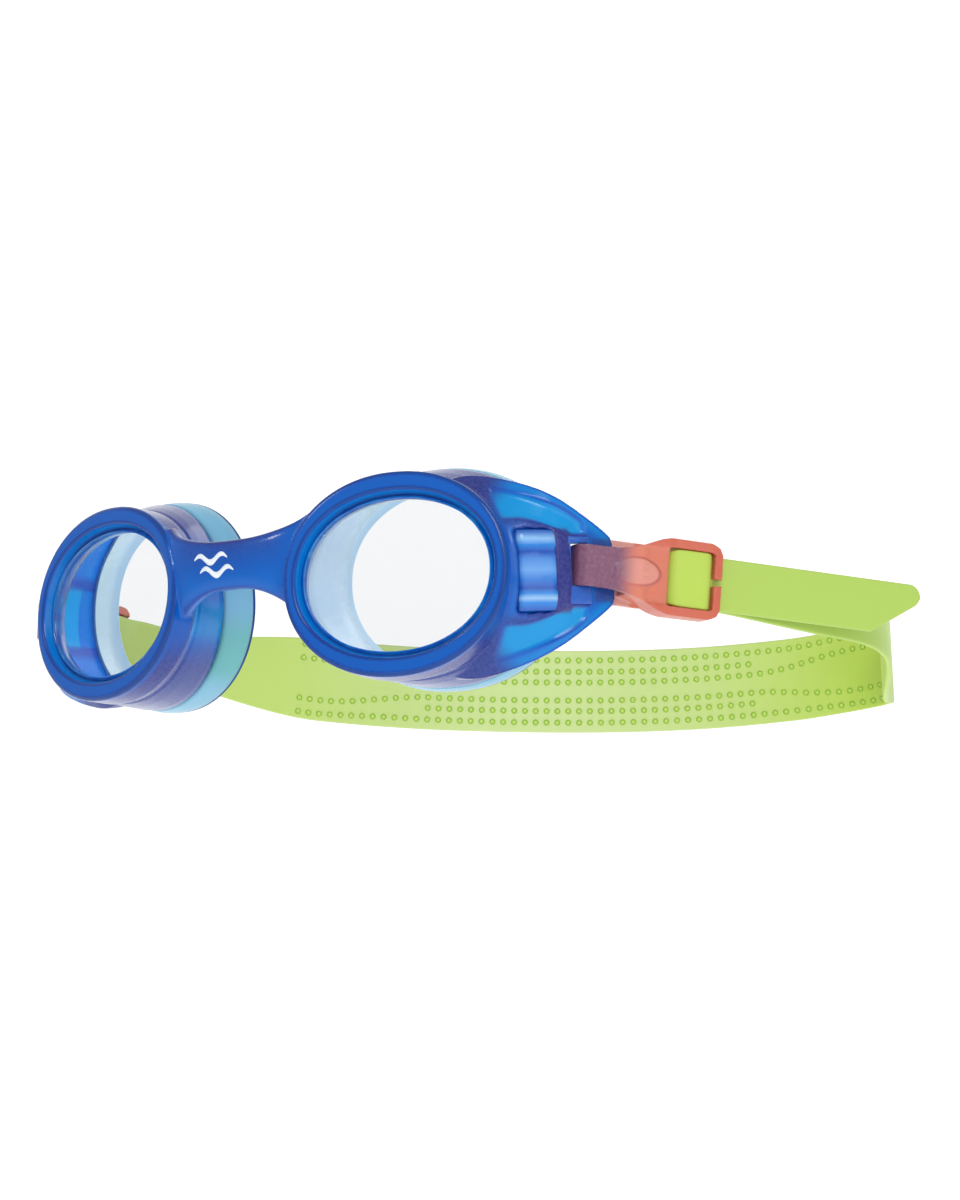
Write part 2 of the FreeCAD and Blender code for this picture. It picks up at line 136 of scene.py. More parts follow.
def catmull(rows, per_span):
    """Smooth rows between the given ones, per_span steps from each to the next."""
    rows = np.asarray(rows, float)
    padded = np.concatenate([[2 * rows[0] - rows[1]], rows, [2 * rows[-1] - rows[-2]]])
    out = []
    for i in range(len(rows) - 1):
        a, b, c, d = padded[i:i + 4]
        for k in range(per_span):
            t = k / per_span
            out.append(0.5 * (2 * b + (c - a) * t + (2 * a - 5 * b + 4 * c - d) * t ** 2
                              + (3 * b - a - 3 * c + d) * t ** 3))
    out.append(rows[-1])
    return np.array(out)


def along_path(points, step):
    """Points an even step apart along a polyline, and their distances from its start."""
    gaps = np.linalg.norm(np.diff(points, axis=0), axis=1)
    at = np.concatenate([[0], np.cumsum(gaps)])
    s = np.linspace(0, at[-1], max(2, int(round(at[-1] / step)) + 1))
    return np.stack([np.interp(s, at, points[:, k]) for k in range(points.shape[1])], 1), s


def oval(centre, yaw, pitch, half):
    c, s = turn(yaw)
    cp, sp = turn(pitch)
    a = 2 * np.pi * np.arange(AROUND) / AROUND
    x = np.sign(np.cos(a)) * np.abs(np.cos(a)) ** (2 / SQUARENESS) * half[0]
    z = np.sign(np.sin(a)) * np.abs(np.sin(a)) ** (2 / SQUARENESS) * half[1]
    return centre + np.outer(x, [c, s, 0]) + np.outer(z, [-s * sp, c * sp, cp])


def rim_axes():
    """The directions across, up and back of the left rim."""
    c, s = turn(RIM_YAW)
    cp, sp = turn(RIM_PITCH)
    return np.array([c, s, 0]), np.array([-s * sp, c * sp, cp]), np.array([-s * cp, c * cp, -sp])


def cup_ring(depth, half_change):
    """A ring of the left cup, depth behind its front and half_change beyond its outer wall."""
    back = rim_axes()[2]
    if depth <= SEAT_DEPTH:
        return oval(RIM_CENTRE + back * depth, RIM_YAW, RIM_PITCH, RIM_HALF + half_change)
    u = (depth - SEAT_DEPTH) / (CUP_DEPTH - SEAT_DEPTH)
    centre = (RIM_CENTRE + back * SEAT_DEPTH) * (1 - u) + BACK_CENTRE * u
    half = RIM_HALF * (1 - u) + BACK_HALF * u
    return oval(centre, RIM_YAW + (BACK_YAW - RIM_YAW) * u, RIM_PITCH * (1 - u), half + half_change)


def lip_ring(u, half_change):
    """A ring of the gasket's skirt: u is 0 at the cup's back edge and 1 at the face lip."""
    centre = BACK_CENTRE * (1 - u) + LIP_CENTRE * u
    half = BACK_HALF * (1 - u) + LIP_HALF * u
    return oval(centre, BACK_YAW + (LIP_YAW - BACK_YAW) * u, 0, half + half_change)


def wing_point(q, n, v):
    c, s = turn(WING_BETA)
    q, n, v = np.broadcast_arrays(np.asarray(q, float), n, v)
    offsets = q[..., None] * np.array([s, c, 0]) + n[..., None] * np.array([c, -s, 0])
    return SLOT_AT + offsets + v[..., None] * np.array([0, 0, 1.0])


def wing_measure(q, column):
    """One column of WING_SECTIONS at a place along the wing."""
    return np.interp(q, [w[0] for w in WING_SECTIONS], [w[column] for w in WING_SECTIONS])


def wing_place(points):
    """The inverse of wing_point, for points of either side."""
    c, s = turn(WING_BETA)
    rel = np.stack([np.abs(points[:, 0]), points[:, 1], points[:, 2]], 1) - SLOT_AT
    return rel @ np.array([s, c, 0]), rel @ np.array([c, -s, 0]), rel[:, 2]


def clip_axes(side):
    c, s = turn(CLIP_BETA[side])
    cd, sd = turn(DROOP)
    level = np.array([side * s, c, 0])
    return level * cd - np.array([0, 0, sd]), np.array([0, 0, cd]) + level * sd, np.array([side * c, -s, 0])


def clip_point(side, p, v, n):
    along, up, out = clip_axes(side)
    hinge = wing_point(HINGE_Q, 0, CLIP_LIFT) * np.array([side, 1, 1])
    p, v, n = np.broadcast_arrays(np.asarray(p, float), v, n)
    return hinge + (p - HINGE_Q)[..., None] * along + v[..., None] * up + n[..., None] * out


# ---- meshes ----
PAINTED = ("thin", "dusk", "smoke", "height", "green", "outer", "deep", "centre")


def link(obj):
    bpy.context.scene.collection.objects.link(obj)
    return obj


def new_object(name, points, faces):
    mesh = bpy.data.meshes.new(name)
    mesh.from_pydata((np.asarray(points).reshape(-1, 3) * MM).tolist(), [], faces)
    bm = bmesh.new()
    bm.from_mesh(mesh)
    bmesh.ops.recalc_face_normals(bm, faces=bm.faces)
    bm.to_mesh(mesh)
    bm.free()
    mesh.shade_smooth()
    return link(bpy.data.objects.new(name, mesh))


def skin(name, rings, loop=False, last_cap=True):
    """A surface through closed rings, its ends closed; loop joins the last ring to the first."""
    rings = np.asarray(rings)
    m, n = rings.shape[:2]
    faces = []
    for i in range(m if loop else m - 1):
        a, b = i * n, ((i + 1) % m) * n
        faces += [(a + j, a + (j + 1) % n, b + (j + 1) % n, b + j) for j in range(n)]
    if not loop:
        faces.append(tuple(range(n)))
    if last_cap and not loop:
        faces.append(tuple(range((m - 1) * n, m * n)))
    return new_object(name, rings, faces)


def wing_block(name, around, heights):
    """A six-sided block on the left wing: four corners along and out, at each of two heights."""
    corners = [wing_point(q, n, v) for v in heights for q, n in around]
    faces = [(0, 1, 2, 3), (4, 5, 6, 7), (0, 1, 5, 4), (1, 2, 6, 5), (2, 3, 7, 6), (3, 0, 4, 7)]
    return new_object(name, corners, faces)


def flip_x(obj, name):
    """A mirrored copy of obj."""
    points = places(obj) * np.array([-1, 1, 1])
    copy = new_object(name, points, [tuple(f.vertices) for f in obj.data.polygons])
    for material in obj.data.materials:
        copy.data.materials.append(material)
    copy.data.polygons.foreach_set("material_index", [f.material_index for f in obj.data.polygons])
    for key in PAINTED:
        layer = obj.data.attributes.get(key)
        if layer:
            paint(copy, key, [d.value for d in layer.data])
    return copy


def apply_modifiers(obj):
    bpy.context.view_layer.update()
    mesh = bpy.data.meshes.new_from_object(obj.evaluated_get(bpy.context.evaluated_depsgraph_get()))
    obj.modifiers.clear()
    obj.data = mesh
    return obj


def cut(obj, *tools):
    for tool in tools:
        modifier = obj.modifiers.new("cut", "BOOLEAN")
        modifier.operation, modifier.solver, modifier.object = "DIFFERENCE", "EXACT", tool
    return apply_modifiers(obj)


def remove(*objects):
    for obj in objects:
        bpy.data.objects.remove(obj)


def join(name, objects):
    """One object from several; their meshes stay separate shells."""
    points, faces, marks, materials, base = [], [], [], [], 0
    painted = sorted({layer.name for obj in objects for layer in obj.data.attributes
                      if layer.name in PAINTED})
    values = {key: [] for key in painted}
    for obj in objects:
        points += [tuple(v.co / MM) for v in obj.data.vertices]
        for key in painted:
            layer = obj.data.attributes.get(key)
            values[key] += [d.value for d in layer.data] if layer else [0.0] * len(obj.data.vertices)
        slots = [m.name for m in obj.data.materials]
        for m in slots:
            if m not in materials:
                materials.append(m)
        for f in obj.data.polygons:
            faces.append(tuple(v + base for v in f.vertices))
            marks.append(materials.index(slots[f.material_index]) if slots else 0)
        base = len(points)
    remove(*objects)
    joined = new_object(name, np.array(points), faces)
    for m in materials:
        joined.data.materials.append(bpy.data.materials[m])
    joined.data.polygons.foreach_set("material_index", marks)
    for key in painted:
        paint(joined, key, values[key])
    return joined


def mould(obj, voxel, rounds, factor=0.5):
    """Melts overlapping shells into one smooth moulded skin."""
    remesh = obj.modifiers.new("melt", "REMESH")
    remesh.mode, remesh.voxel_size, remesh.use_smooth_shade = "VOXEL", voxel * MM, True
    soften = obj.modifiers.new("soften", "SMOOTH")
    soften.factor, soften.iterations = factor, rounds
    apply_modifiers(obj)
    obj.data.shade_smooth()
    return obj


def paint(obj, name, values):
    layer = obj.data.attributes.get(name) or obj.data.attributes.new(name, "FLOAT", "POINT")
    layer.data.foreach_set("value", np.asarray(values, np.float32))


SHARP_ROUNDS = 4                  # rounds of spreading each edge's bend to its neighbours
SHARP_BEND = (0.12, 0.5)          # the bend of a soft edge and of a sharp one, per mm


def sharpness(obj):
    """How sharply convex the mesh is at each vertex, from 0 to 1."""
    mesh = obj.data
    edges = np.empty(2 * len(mesh.edges), dtype=np.int32)
    mesh.edges.foreach_get("vertices", edges)
    a, b = edges.reshape(-1, 2).T
    normals, points = normals_of(obj), places(obj)
    along = points[b] - points[a]
    bend = ((normals[b] - normals[a]) * along).sum(1) / np.maximum((along ** 2).sum(1), 1e-9)
    count = np.bincount(a, minlength=len(points)) + np.bincount(b, minlength=len(points))
    for _ in range(SHARP_ROUNDS):
        total = np.bincount(a, bend, len(points)) + np.bincount(b, bend, len(points))
        mean = total / np.maximum(count, 1)
        bend = (mean[a] + mean[b]) / 2
    return ease(mean, *SHARP_BEND)


def places(obj):
    return np.array([v.co for v in obj.data.vertices]) / MM


def normals_of(obj):
    normals = np.empty(3 * len(obj.data.vertices))
    obj.data.vertices.foreach_get("normal", normals)
    return normals.reshape(-1, 3)


# ---- materials ----
class Shader:
    """A Principled material and the few node helpers that the finishes need."""

    def __init__(self, name, **sockets):
        self.material = bpy.data.materials.new(name)
        self.material.use_nodes = True
        self.tree = self.material.node_tree
        self.principled = self.tree.nodes["Principled BSDF"]
        for key, value in sockets.items():
            self.principled.inputs[key.replace("_", " ")].default_value = value
        self.coordinates = self.tree.nodes.new("ShaderNodeTexCoord").outputs["Object"]

    def noise(self, scale, detail=3.0):
        node = self.tree.nodes.new("ShaderNodeTexNoise")
        node.inputs["Scale"].default_value = scale
        node.inputs["Detail"].default_value = detail
        self.tree.links.new(self.coordinates, node.inputs["Vector"])
        return node.outputs["Fac"]

    def attribute(self, name):
        node = self.tree.nodes.new("ShaderNodeAttribute")
        node.attribute_name = name
        return node.outputs["Fac"]

    def ramp(self, value, *stops):
        node = self.tree.nodes.new("ShaderNodeValToRGB")
        while len(node.color_ramp.elements) < len(stops):
            node.color_ramp.elements.new(0.5)
        for element, (position, color) in zip(node.color_ramp.elements, stops):
            element.position = position
            element.color = (*color, 1) if len(color) == 3 else color
        self.tree.links.new(value, node.inputs["Fac"])
        return node.outputs["Color"]

    def mix(self, factor, a, b):
        node = self.tree.nodes.new("ShaderNodeMix")
        node.data_type = "RGBA"
        for key, value in (("Factor", factor), ("A", a), ("B", b)):
            socket = node.inputs[key]
            if isinstance(value, bpy.types.NodeSocket):
                self.tree.links.new(value, socket)
            else:
                socket.default_value = value if isinstance(value, float) else (*value, 1)
        return node.outputs["Result"]

    def span(self, value, low, high):
        node = self.tree.nodes.new("ShaderNodeMapRange")
        node.inputs["To Min"].default_value = low
        node.inputs["To Max"].default_value = high
        self.tree.links.new(value, node.inputs["Value"])
        return node.outputs["Result"]

    def color(self, value):
        self.tree.links.new(value, self.principled.inputs["Base Color"])
        return self

    def roughness(self, scale, low, high):
        value = self.span(self.noise(scale), low, high)
        self.tree.links.new(value, self.principled.inputs["Roughness"])
        return self.material

    def grain(self, scale, strength, distance):
        """A fine bump, distance in millimetres."""
        value = self.noise(scale, 2)
        node = self.tree.nodes.new("ShaderNodeBump")
        node.inputs["Strength"].default_value = strength
        node.inputs["Distance"].default_value = distance * MM
        self.tree.links.new(value, node.inputs["Height"])
        self.tree.links.new(node.outputs["Normal"], self.principled.inputs["Normal"])
        return self.material


def frame_material():
    """Soft blue rubber: navy where thick and azure where thin, with painted highlights and painted shade in
    the same ramp; violet on a satin strip by the slot and as painted shade on walls, bridge and wing.
    """
    s = Shader("frame_rubber", IOR=1.45, Transmission_Weight=0.1, Specular_IOR_Level=0.3,
               Coat_Weight=0.22, Coat_Roughness=0.06)
    body = s.ramp(s.attribute("thin"), (0.0, (0.002, 0.018, 0.16)), (0.3, (0.002, 0.062, 0.42)),
                  (0.6, (0.0, 0.145, 0.60)), (1.0, (0.0, 0.34, 0.74)))
    body = s.mix(s.span(s.noise(45), 0.0, 0.3), body, (0.0, 0.19, 0.66))
    violet = s.ramp(s.noise(1500, 2), (0.35, (0.025, 0.02, 0.17)), (0.75, (0.065, 0.055, 0.26)))
    s.color(s.mix(s.attribute("dusk"), body, violet))
    s.roughness(420, 0.14, 0.24)
    return s.grain(2400, 0.03, 0.02)


def inside_material():
    """The inside of a cup, painted bright blue with a faint painted blue glow that stands for light through
    its wall.
    """
    s = Shader("cup_inside", IOR=1.45, Specular_IOR_Level=0.12, Emission_Color=(0, 0.12, 0.6, 1),
               Emission_Strength=0.15)
    body = s.ramp(s.attribute("thin"), (0.4, (0.0, 0.05, 0.42)), (0.55, (0.0, 0.13, 0.64)),
                  (0.75, (0.0, 0.24, 0.90)), (1.0, (0.0, 0.50, 1.0)))
    violet = s.ramp(s.noise(120, 2), (0.35, (0.05, 0.02, 0.42)), (0.75, (0.11, 0.06, 0.58)))
    s.color(s.mix(s.attribute("dusk"), body, violet))
    s.roughness(300, 0.2, 0.34)
    return s.grain(260, 0.05, 0.1)


def lens_material():
    s = Shader("lens_clear", Base_Color=(0.06, 0.075, 0.10, 1), IOR=1.4, Alpha=0.12, Specular_IOR_Level=0.5)
    return s.roughness(90, 0.0, 0.02)


def lens_edge_material():
    """The bevelled edge of a clear lens, painted the blue of the seat seen through it."""
    s = Shader("lens_edge", IOR=1.5, Transmission_Weight=0.25, Coat_Weight=0.7, Coat_Roughness=0.05)
    s.color(s.ramp(s.noise(240, 2), (0.3, (0.004, 0.14, 0.70)), (0.62, (0.01, 0.28, 0.85)),
                   (0.8, (0.10, 0.50, 0.92))))
    return s.roughness(300, 0.06, 0.2)


def arm_material():
    """The lens's clear arm, painted the blue of the rubber seen through it, in bands by height: pale painted
    highlights and dark painted shade.
    """
    s = Shader("lens_arm", IOR=1.5, Transmission_Weight=0.1, Specular_IOR_Level=0.4,
               Coat_Weight=0.35, Coat_Roughness=0.04)
    # painted highlights near 0.14 and 0.9, painted dark bands near 0.27 and 0.73
    band = s.ramp(s.attribute("height"), (0.0, (0.002, 0.10, 0.55)), (0.09, (0.01, 0.26, 0.78)),
                  (0.14, (0.36, 0.62, 0.93)), (0.2, (0.01, 0.26, 0.78)), (0.27, (0.001, 0.06, 0.45)),
                  (0.38, (0.02, 0.20, 0.70)), (0.5, (0.13, 0.38, 0.84)), (0.64, (0.04, 0.24, 0.72)),
                  (0.73, (0.001, 0.06, 0.45)), (0.82, (0.01, 0.24, 0.76)), (0.9, (0.26, 0.54, 0.90)),
                  (1.0, (0.002, 0.10, 0.55)))
    s.color(s.mix(s.span(s.noise(1100, 2), 0.0, 0.12), band, (0.20, 0.42, 0.84)))
    s.roughness(260, 0.08, 0.22)
    return s.grain(1200, 0.1, 0.05)


def gasket_material():
    s = Shader("gasket_rubber", IOR=1.2, Transmission_Weight=0.35, Coat_Weight=0.2, Coat_Roughness=0.15)
    pale = s.ramp(s.noise(28, 1), (0.3, (0.24, 0.56, 0.76)), (0.7, (0.34, 0.64, 0.80)))
    # painted reflection: the green strap reflected in the gasket
    sea = s.ramp(s.noise(60, 1), (0.3, (0.10, 0.54, 0.40)), (0.7, (0.20, 0.62, 0.50)))
    s.color(s.mix(s.attribute("green"), pale, sea))
    s.roughness(300, 0.18, 0.3)
    return s.grain(1500, 0.08, 0.05)


def sleeve_material():
    """The inside of a gasket, painted pale with a faint painted glow that stands for light coming through it.
    """
    s = Shader("gasket_inside", IOR=1.3, Coat_Weight=0.15, Coat_Roughness=0.15,
               Emission_Color=(0.60, 0.80, 0.92, 1), Emission_Strength=0.14)
    s.color(s.ramp(s.noise(60, 2), (0.3, (0.66, 0.88, 0.98)), (0.7, (0.84, 0.96, 1.0))))
    s.roughness(300, 0.2, 0.34)
    return s.grain(900, 0.06, 0.05)


def edge_material():
    # a dark blue for the bead on the gasket's lip: a painted dark line of internal reflection
    s = Shader("gasket_edge", Roughness=0.3, IOR=1.45)
    s.color(s.ramp(s.noise(120), (0.3, (0.01, 0.035, 0.16)), (0.8, (0.02, 0.07, 0.28))))
    return s.material


def clip_material():
    s = Shader("clip_plastic", IOR=1.46, Transmission_Weight=0.18, Coat_Weight=0.12, Coat_Roughness=0.25)
    # darker on the rails, lighter on the pad and back leg, with a painted shade line round the pad
    body = s.ramp(s.attribute("thin"), (0.0, (0.70, 0.13, 0.07)), (0.6, (0.79, 0.22, 0.135)),
                  (1.0, (0.86, 0.44, 0.38)))
    body = s.mix(s.span(s.noise(500), 0.0, 0.2), body, (0.82, 0.34, 0.25))
    # painted see-through: the wing's blue flap showing through the translucent neck, painted as a purple-grey
    # tint
    smoke = s.ramp(s.noise(1400, 2), (0.3, (0.15, 0.055, 0.14)), (0.8, (0.25, 0.13, 0.24)))
    s.color(s.mix(s.attribute("smoke"), body, smoke))
    s.roughness(700, 0.26, 0.40)
    return s.grain(1800, 0.12, 0.05)


def strap_material():
    s = Shader("strap_silicone", IOR=1.41, Sheen_Weight=0.08)
    pale = s.ramp(s.noise(18, 1), (0.3, (0.53, 0.67, 0.23)), (0.75, (0.59, 0.72, 0.30)))
    # painted shade: the inner face is painted deeper green towards both ends, where the band turns
    inner = s.mix(s.attribute("deep"), pale, (0.48, 0.65, 0.09))
    s.color(s.mix(s.attribute("outer"), inner, (0.43, 0.61, 0.11)))
    s.roughness(260, 0.38, 0.52)
    return s.grain(1300, 0.1, 0.05)


def dot_material():
    s = Shader("strap_dots", IOR=1.41, Roughness=0.34)
    ring = s.ramp(s.noise(900), (0.3, (0.27, 0.47, 0.025)), (0.8, (0.34, 0.54, 0.05)))
    # painted highlight: each dot's middle is painted lighter
    s.color(s.mix(s.attribute("centre"), ring, (0.50, 0.70, 0.15)))
    return s.material


def print_material():
    s = Shader("printed_mark", Roughness=0.45)
    s.color(s.ramp(s.noise(800), (0.3, (0.80, 0.86, 0.93)), (0.8, (0.92, 0.95, 0.98))))
    return s.material


def stage_material():
    s = Shader("studio_white", Roughness=0.9, Emission_Color=(1, 1, 1, 1), Emission_Strength=0.33)
    s.color(s.ramp(s.noise(2), (0.3, (0.93, 0.93, 0.93)), (0.8, (0.95, 0.95, 0.95))))
    return s.material


def dress(obj, *materials):
    obj.data.materials.clear()
    for material in materials:
        obj.data.materials.append(material)
    return obj


def second_finish(obj, chosen):
    """Give the faces whose corners are all chosen the object's second material."""
    mesh = obj.data
    index = np.zeros(len(mesh.polygons), dtype=np.int32)
    for face in mesh.polygons:
        index[face.index] = int(all(chosen[k] for k in face.vertices))
    mesh.polygons.foreach_set("material_index", index)
    return obj


# ---- frame ----
# depth behind the front, and how far beyond the clear lens: bevelled mouth, then the lens seat
CUP_MOUTH = [(-0.1, 1.75), (0.2, 1.4), (1.7, 0.85), (2.3, 0.55), (2.7, 0.8), (3.2, 2.5), (5.0, 2.5)]
# depth behind the front, and change of half size from the outer wall, back edge first
CUP_OUTSIDE = [(17.3, -0.6), (16.9, -0.15), (15.5, 0.0), (11.0, -0.1), (8.2, -0.35), (7.7, -0.65),
               (6.4, -0.5), (6.0, -0.05), (5.4, 0.0), (2.5, 0.0), (0.5, 0.0), (0.1, -0.3), (-0.1, -0.8)]
HOLLOW_DEPTHS = (5.2, 8.0, 12.0, 15.0, 17.3)
PLUG_MOUTH = [(-0.2, 1.9), (1.7, 1.0), (2.3, 0.75), (2.7, 0.9), (3.2, 2.6)]
PLUG_AHEAD, PLUG_GROWN, PLUG_END = np.array([1.3, -5.8, 0.7]), 2.2, 24.0
SEAT_INSET, BACK_INSET = np.array([1.8, 3.0]), 1.8   # the hollow's distance inside the outer wall


def mouth_ring(depth, beyond):
    """A ring parallel to the rim, beyond the edge of the clear lens."""
    return cup_ring(min(depth, SEAT_DEPTH), beyond - (RIM_HALF - LENS_HALF))


def hollow_ring(depth, inset=0.0):
    """A ring of the cup's hollow; inset makes the ring smaller."""
    u = min(1.0, (depth - SEAT_DEPTH) / (CUP_DEPTH - SEAT_DEPTH))
    return cup_ring(depth, -(SEAT_INSET * (1 - u) + BACK_INSET * u) - inset)


def make_cup():
    inside = [mouth_ring(*p) for p in CUP_MOUTH] + [hollow_ring(d) for d in HOLLOW_DEPTHS]
    return skin("cup", inside + [cup_ring(*p) for p in CUP_OUTSIDE], loop=True)


def make_plug():
    """The open space through a cup, used to clear what would enter it."""
    ahead = oval(RIM_CENTRE + PLUG_AHEAD, RIM_YAW, RIM_PITCH, LENS_HALF + PLUG_GROWN)
    hollow = [hollow_ring(d) for d in (*HOLLOW_DEPTHS, PLUG_END)]
    return skin("plug", [ahead] + [mouth_ring(*p) for p in PLUG_MOUTH] + hollow)


def panel_edge(q):
    """Height of the inner edge of a wing's two panels."""
    return 9.8 - 3.2 * ease(q, -12.0, -1.0)


def wing_recess(q, v, half):
    """How deep the two sculpted panels of a wing are at a place, from 0 to 1."""
    inner = panel_edge(q)
    rim = half - 3.0 + 1.0 * ease(q, -12.0, 0.0)
    across = ease(np.abs(v), inner, inner + 1.0) * fade(np.abs(v), rim - 0.7, rim + 0.4)
    return across * ease(q, -15.5, -14.0) * fade(q, 0.0, 1.6)


def seat_recess(q, v):
    """The pocket in a wing where the lens arm shows."""
    return ease(q, -13.2, -12.4) * fade(q, -6.5, -6.0) * fade(np.abs(v), 7.7, 8.1)


PANEL_SINK, POCKET_SINK, LEAST_WALL = 0.7, 1.3, 0.7
SLOT_ROOM_Q, SLOT_ROOM_V = (-0.3, -0.1), 0.9   # the rubber's opening, beyond the lens's own slot


def make_wing():
    sections = catmull(WING_SECTIONS, 8)
    t = np.linspace(-1, 1, 61)
    rings = []
    for q, face, half, curl, thick in sections:
        v = half * t
        outer = face - curl * t * t
        dip = PANEL_SINK * wing_recess(q, v, half) + POCKET_SINK * seat_recess(q, v)
        front = wing_point(q, outer - np.minimum(dip, thick - LEAST_WALL), v)
        back = wing_point(q, outer - thick, v)
        rings.append(np.concatenate([front, back[::-1]]))
    wing = skin("wing", rings)
    q0, q1, h = SLOT_Q[0] + SLOT_ROOM_Q[0], SLOT_Q[1] + SLOT_ROOM_Q[1], SLOT_HALF_H + SLOT_ROOM_V
    tool = wing_block("slot", [(q0, -6), (q1, -6), (q1, 6), (q0, 6)], (-h, h))
    cut(wing, tool)
    remove(tool)
    return wing


def make_bridge():
    stations = [(-x, y, z, t, h) for x, y, z, t, h in reversed(BRIDGE[1:])] + BRIDGE
    a = 2 * np.pi * np.arange(56) / 56
    c, s = np.cos(a), np.sin(a)
    ring = np.stack([0 * a, np.sign(c) * np.abs(c) ** 0.6, np.sign(s) * np.abs(s) ** 0.6], 1)
    rings = [np.array([x, y, z]) + ring * np.array([1, t, h]) for x, y, z, t, h in catmull(stations, 6)]
    return skin("bridge", rings)


def make_frame(material, inside_finish):
    plug = make_plug()
    other_plug = flip_x(plug, "plug_right")
    wing, bridge, cup = cut(make_wing(), plug), cut(make_bridge(), plug, other_plug), make_cup()
    shells = [cup, flip_x(cup, "cup_right"), wing, flip_x(wing, "wing_right"), bridge]
    obj = mould(join("frame_skin", shells), 0.22, 6)
    remove(plug, other_plug)
    paint_frame(obj, places(obj))
    dress(obj, material, inside_finish)
    return second_finish(obj, cup_inside(obj, places(obj)) > 0.5)


def cup_inside(obj, points):
    """How far each vertex lies on the inner face of a cup, from 0 to 1."""
    bridge = fade(np.abs(points[:, 0]), 9, 15)
    return ease(rim_place(points)[0], 4.6, 5.2) * facing_axis(obj, points) * (1 - bridge)


def paint_frame(obj, points):
    """How pale each vertex is painted, for thin rubber, painted highlights and painted shade, and how violet,
    for a satin strip and painted shade.
    """
    q, n, v = wing_place(points)
    x, z, across = np.abs(points[:, 0]), points[:, 2], np.abs(v)
    half = wing_measure(q, 2)
    depth, beyond = rim_place(points)
    on_wing = ease(q, -16, -13.5) * ease(n, -10, -5) * ease(beyond, 4.2, 5.0)
    recess = on_wing * wing_recess(q, v, half)
    margin = on_wing * ease(across, half - 3.2, half - 0.8)
    bevel = ease(-beyond, -1.7, -1.3) * fade(depth, 2.6, 3.2)
    face = fade(depth, 0.5, 1.5) * (1 - bevel)
    bridge = fade(x, 9, 15)
    wall = ease(depth, 5.5, 7.0) * (1 - on_wing) * (1 - bridge)
    thin = 0.38 + 0.35 * bevel + 0.04 * face + 0.14 * wall + 0.2 * on_wing + 0.42 * recess + 0.2 * margin
    strip = on_wing * ease(q, -6.4, -5.8) * fade(q, -2.6, -1.6) * fade(across, 7.4, 8.6)
    inner = panel_edge(q)
    border = on_wing * ease(across, inner - 2.2, inner - 0.4) * fade(across, inner, inner + 0.9)
    tip = on_wing * ease(q, 2.4, 3.4) * fade(across, 5.6, 6.6)
    # painted shade: the upper and lower outer walls of each cup are painted darker violet
    top_wall = ease(z, 6, 15) * ease(depth, 0.8, 2.2) * (1 - on_wing)
    low_wall = ease(-z, 7, 15) * ease(depth, 0.8, 2.2) * (1 - on_wing)
    # painted highlight: the wall on the nose side, below the bridge, is painted azure
    nose_wall = wall * fade(x, 20, 26) * ease(-z, -1, 3) * fade(-z, 6, 11)
    # the bridge is painted paler low down and violet at its top
    thin += 0.16 * bridge * fade(z, 0, 5)
    dusk = 0.9 * strip + 0.6 * border * fade(q, 0, 4) + 0.6 * tip + 0.8 * top_wall + 0.75 * low_wall
    dusk += 0.35 * bridge * ease(z, 3, 9)
    # painted light: the clear arm seen through the cup's wall is painted as a brighter blue patch on the
    # inside, with a darker violet line along it, and the whole inside is painted paler
    inside = cup_inside(obj, points)
    temple = ease(x, 44, 48)
    window = inside * temple * fade(across, 6.2, 6.8) * fade(depth, 10.5, 11.2)
    frame_line = inside * ease(across, 5.6, 6.4) * fade(across, 7.4, 9.5)
    thin += 0.4 * nose_wall * (1 - inside) + 0.25 * inside + 0.6 * window
    dusk = dusk * (1 - inside) + 0.6 * frame_line * temple
    pocket = on_wing * seat_recess(q, v)
    # painted shade: sharp convex edges are painted darker, standing for the dark edge lines of refraction
    thin -= 0.35 * sharpness(obj) * (1 - inside) * (1 - pocket)
    paint(obj, "thin", np.clip(thin, 0, 1))
    paint(obj, "dusk", np.clip(dusk, 0, 0.9))


def facing_axis(obj, points):
    """How far each vertex's normal points at the middle line of its own cup, from 0 to 1."""
    u = ((points[:, 1] - RIM_CENTRE[1]) / (BACK_CENTRE[1] - RIM_CENTRE[1]))[:, None]
    middle = RIM_CENTRE + u * (BACK_CENTRE - RIM_CENTRE)
    middle[:, 0] *= np.sign(points[:, 0])
    inward = middle - points
    inward /= np.linalg.norm(inward, axis=1)[:, None]
    return ease((normals_of(obj) * inward).sum(1), 0.3, 0.7)


def rim_place(points):
    """Depth behind a rim's front, and distance beyond the clear lens's edge, for points of either side."""
    across, up, back = rim_axes()
    rel = np.stack([np.abs(points[:, 0]), points[:, 1], points[:, 2]], 1) - RIM_CENTRE
    x, z = rel @ across / LENS_HALF[0], rel @ up / LENS_HALF[1]
    share = (np.abs(x) ** SQUARENESS + np.abs(z) ** SQUARENESS) ** (1 / SQUARENESS)
    reach = np.hypot(x * LENS_HALF[0], z * LENS_HALF[1])
    return rel @ back, reach * (1 - 1 / np.maximum(share, 0.05))


# ---- lenses ----
LOOP_HOLE = (-3.0, 5.15)          # heights of the hole that the clip's neck passes through
LENS_SHARES = (0.02, 0.35, 0.65, 0.85, 0.96, 0.995)
LENS_FACES, LENS_BOW = (1.4, 2.8), 0.1   # depths of the clear face's front and back
# depth behind the front, and how far beyond the clear lens
FLANGE = [(1.4, 0.0), (1.5, 0.15), (2.3, 1.0), (3.4, 1.1), (3.5, 2.3), (4.9, 2.35), (5.0, 2.2),
          (5.0, 0.9), (4.6, 0.3), (3.0, 0.0)]
ARM_Q, ARM_SINK, ARM_RINGS = (-12.9, -5.7), 0.72, 17
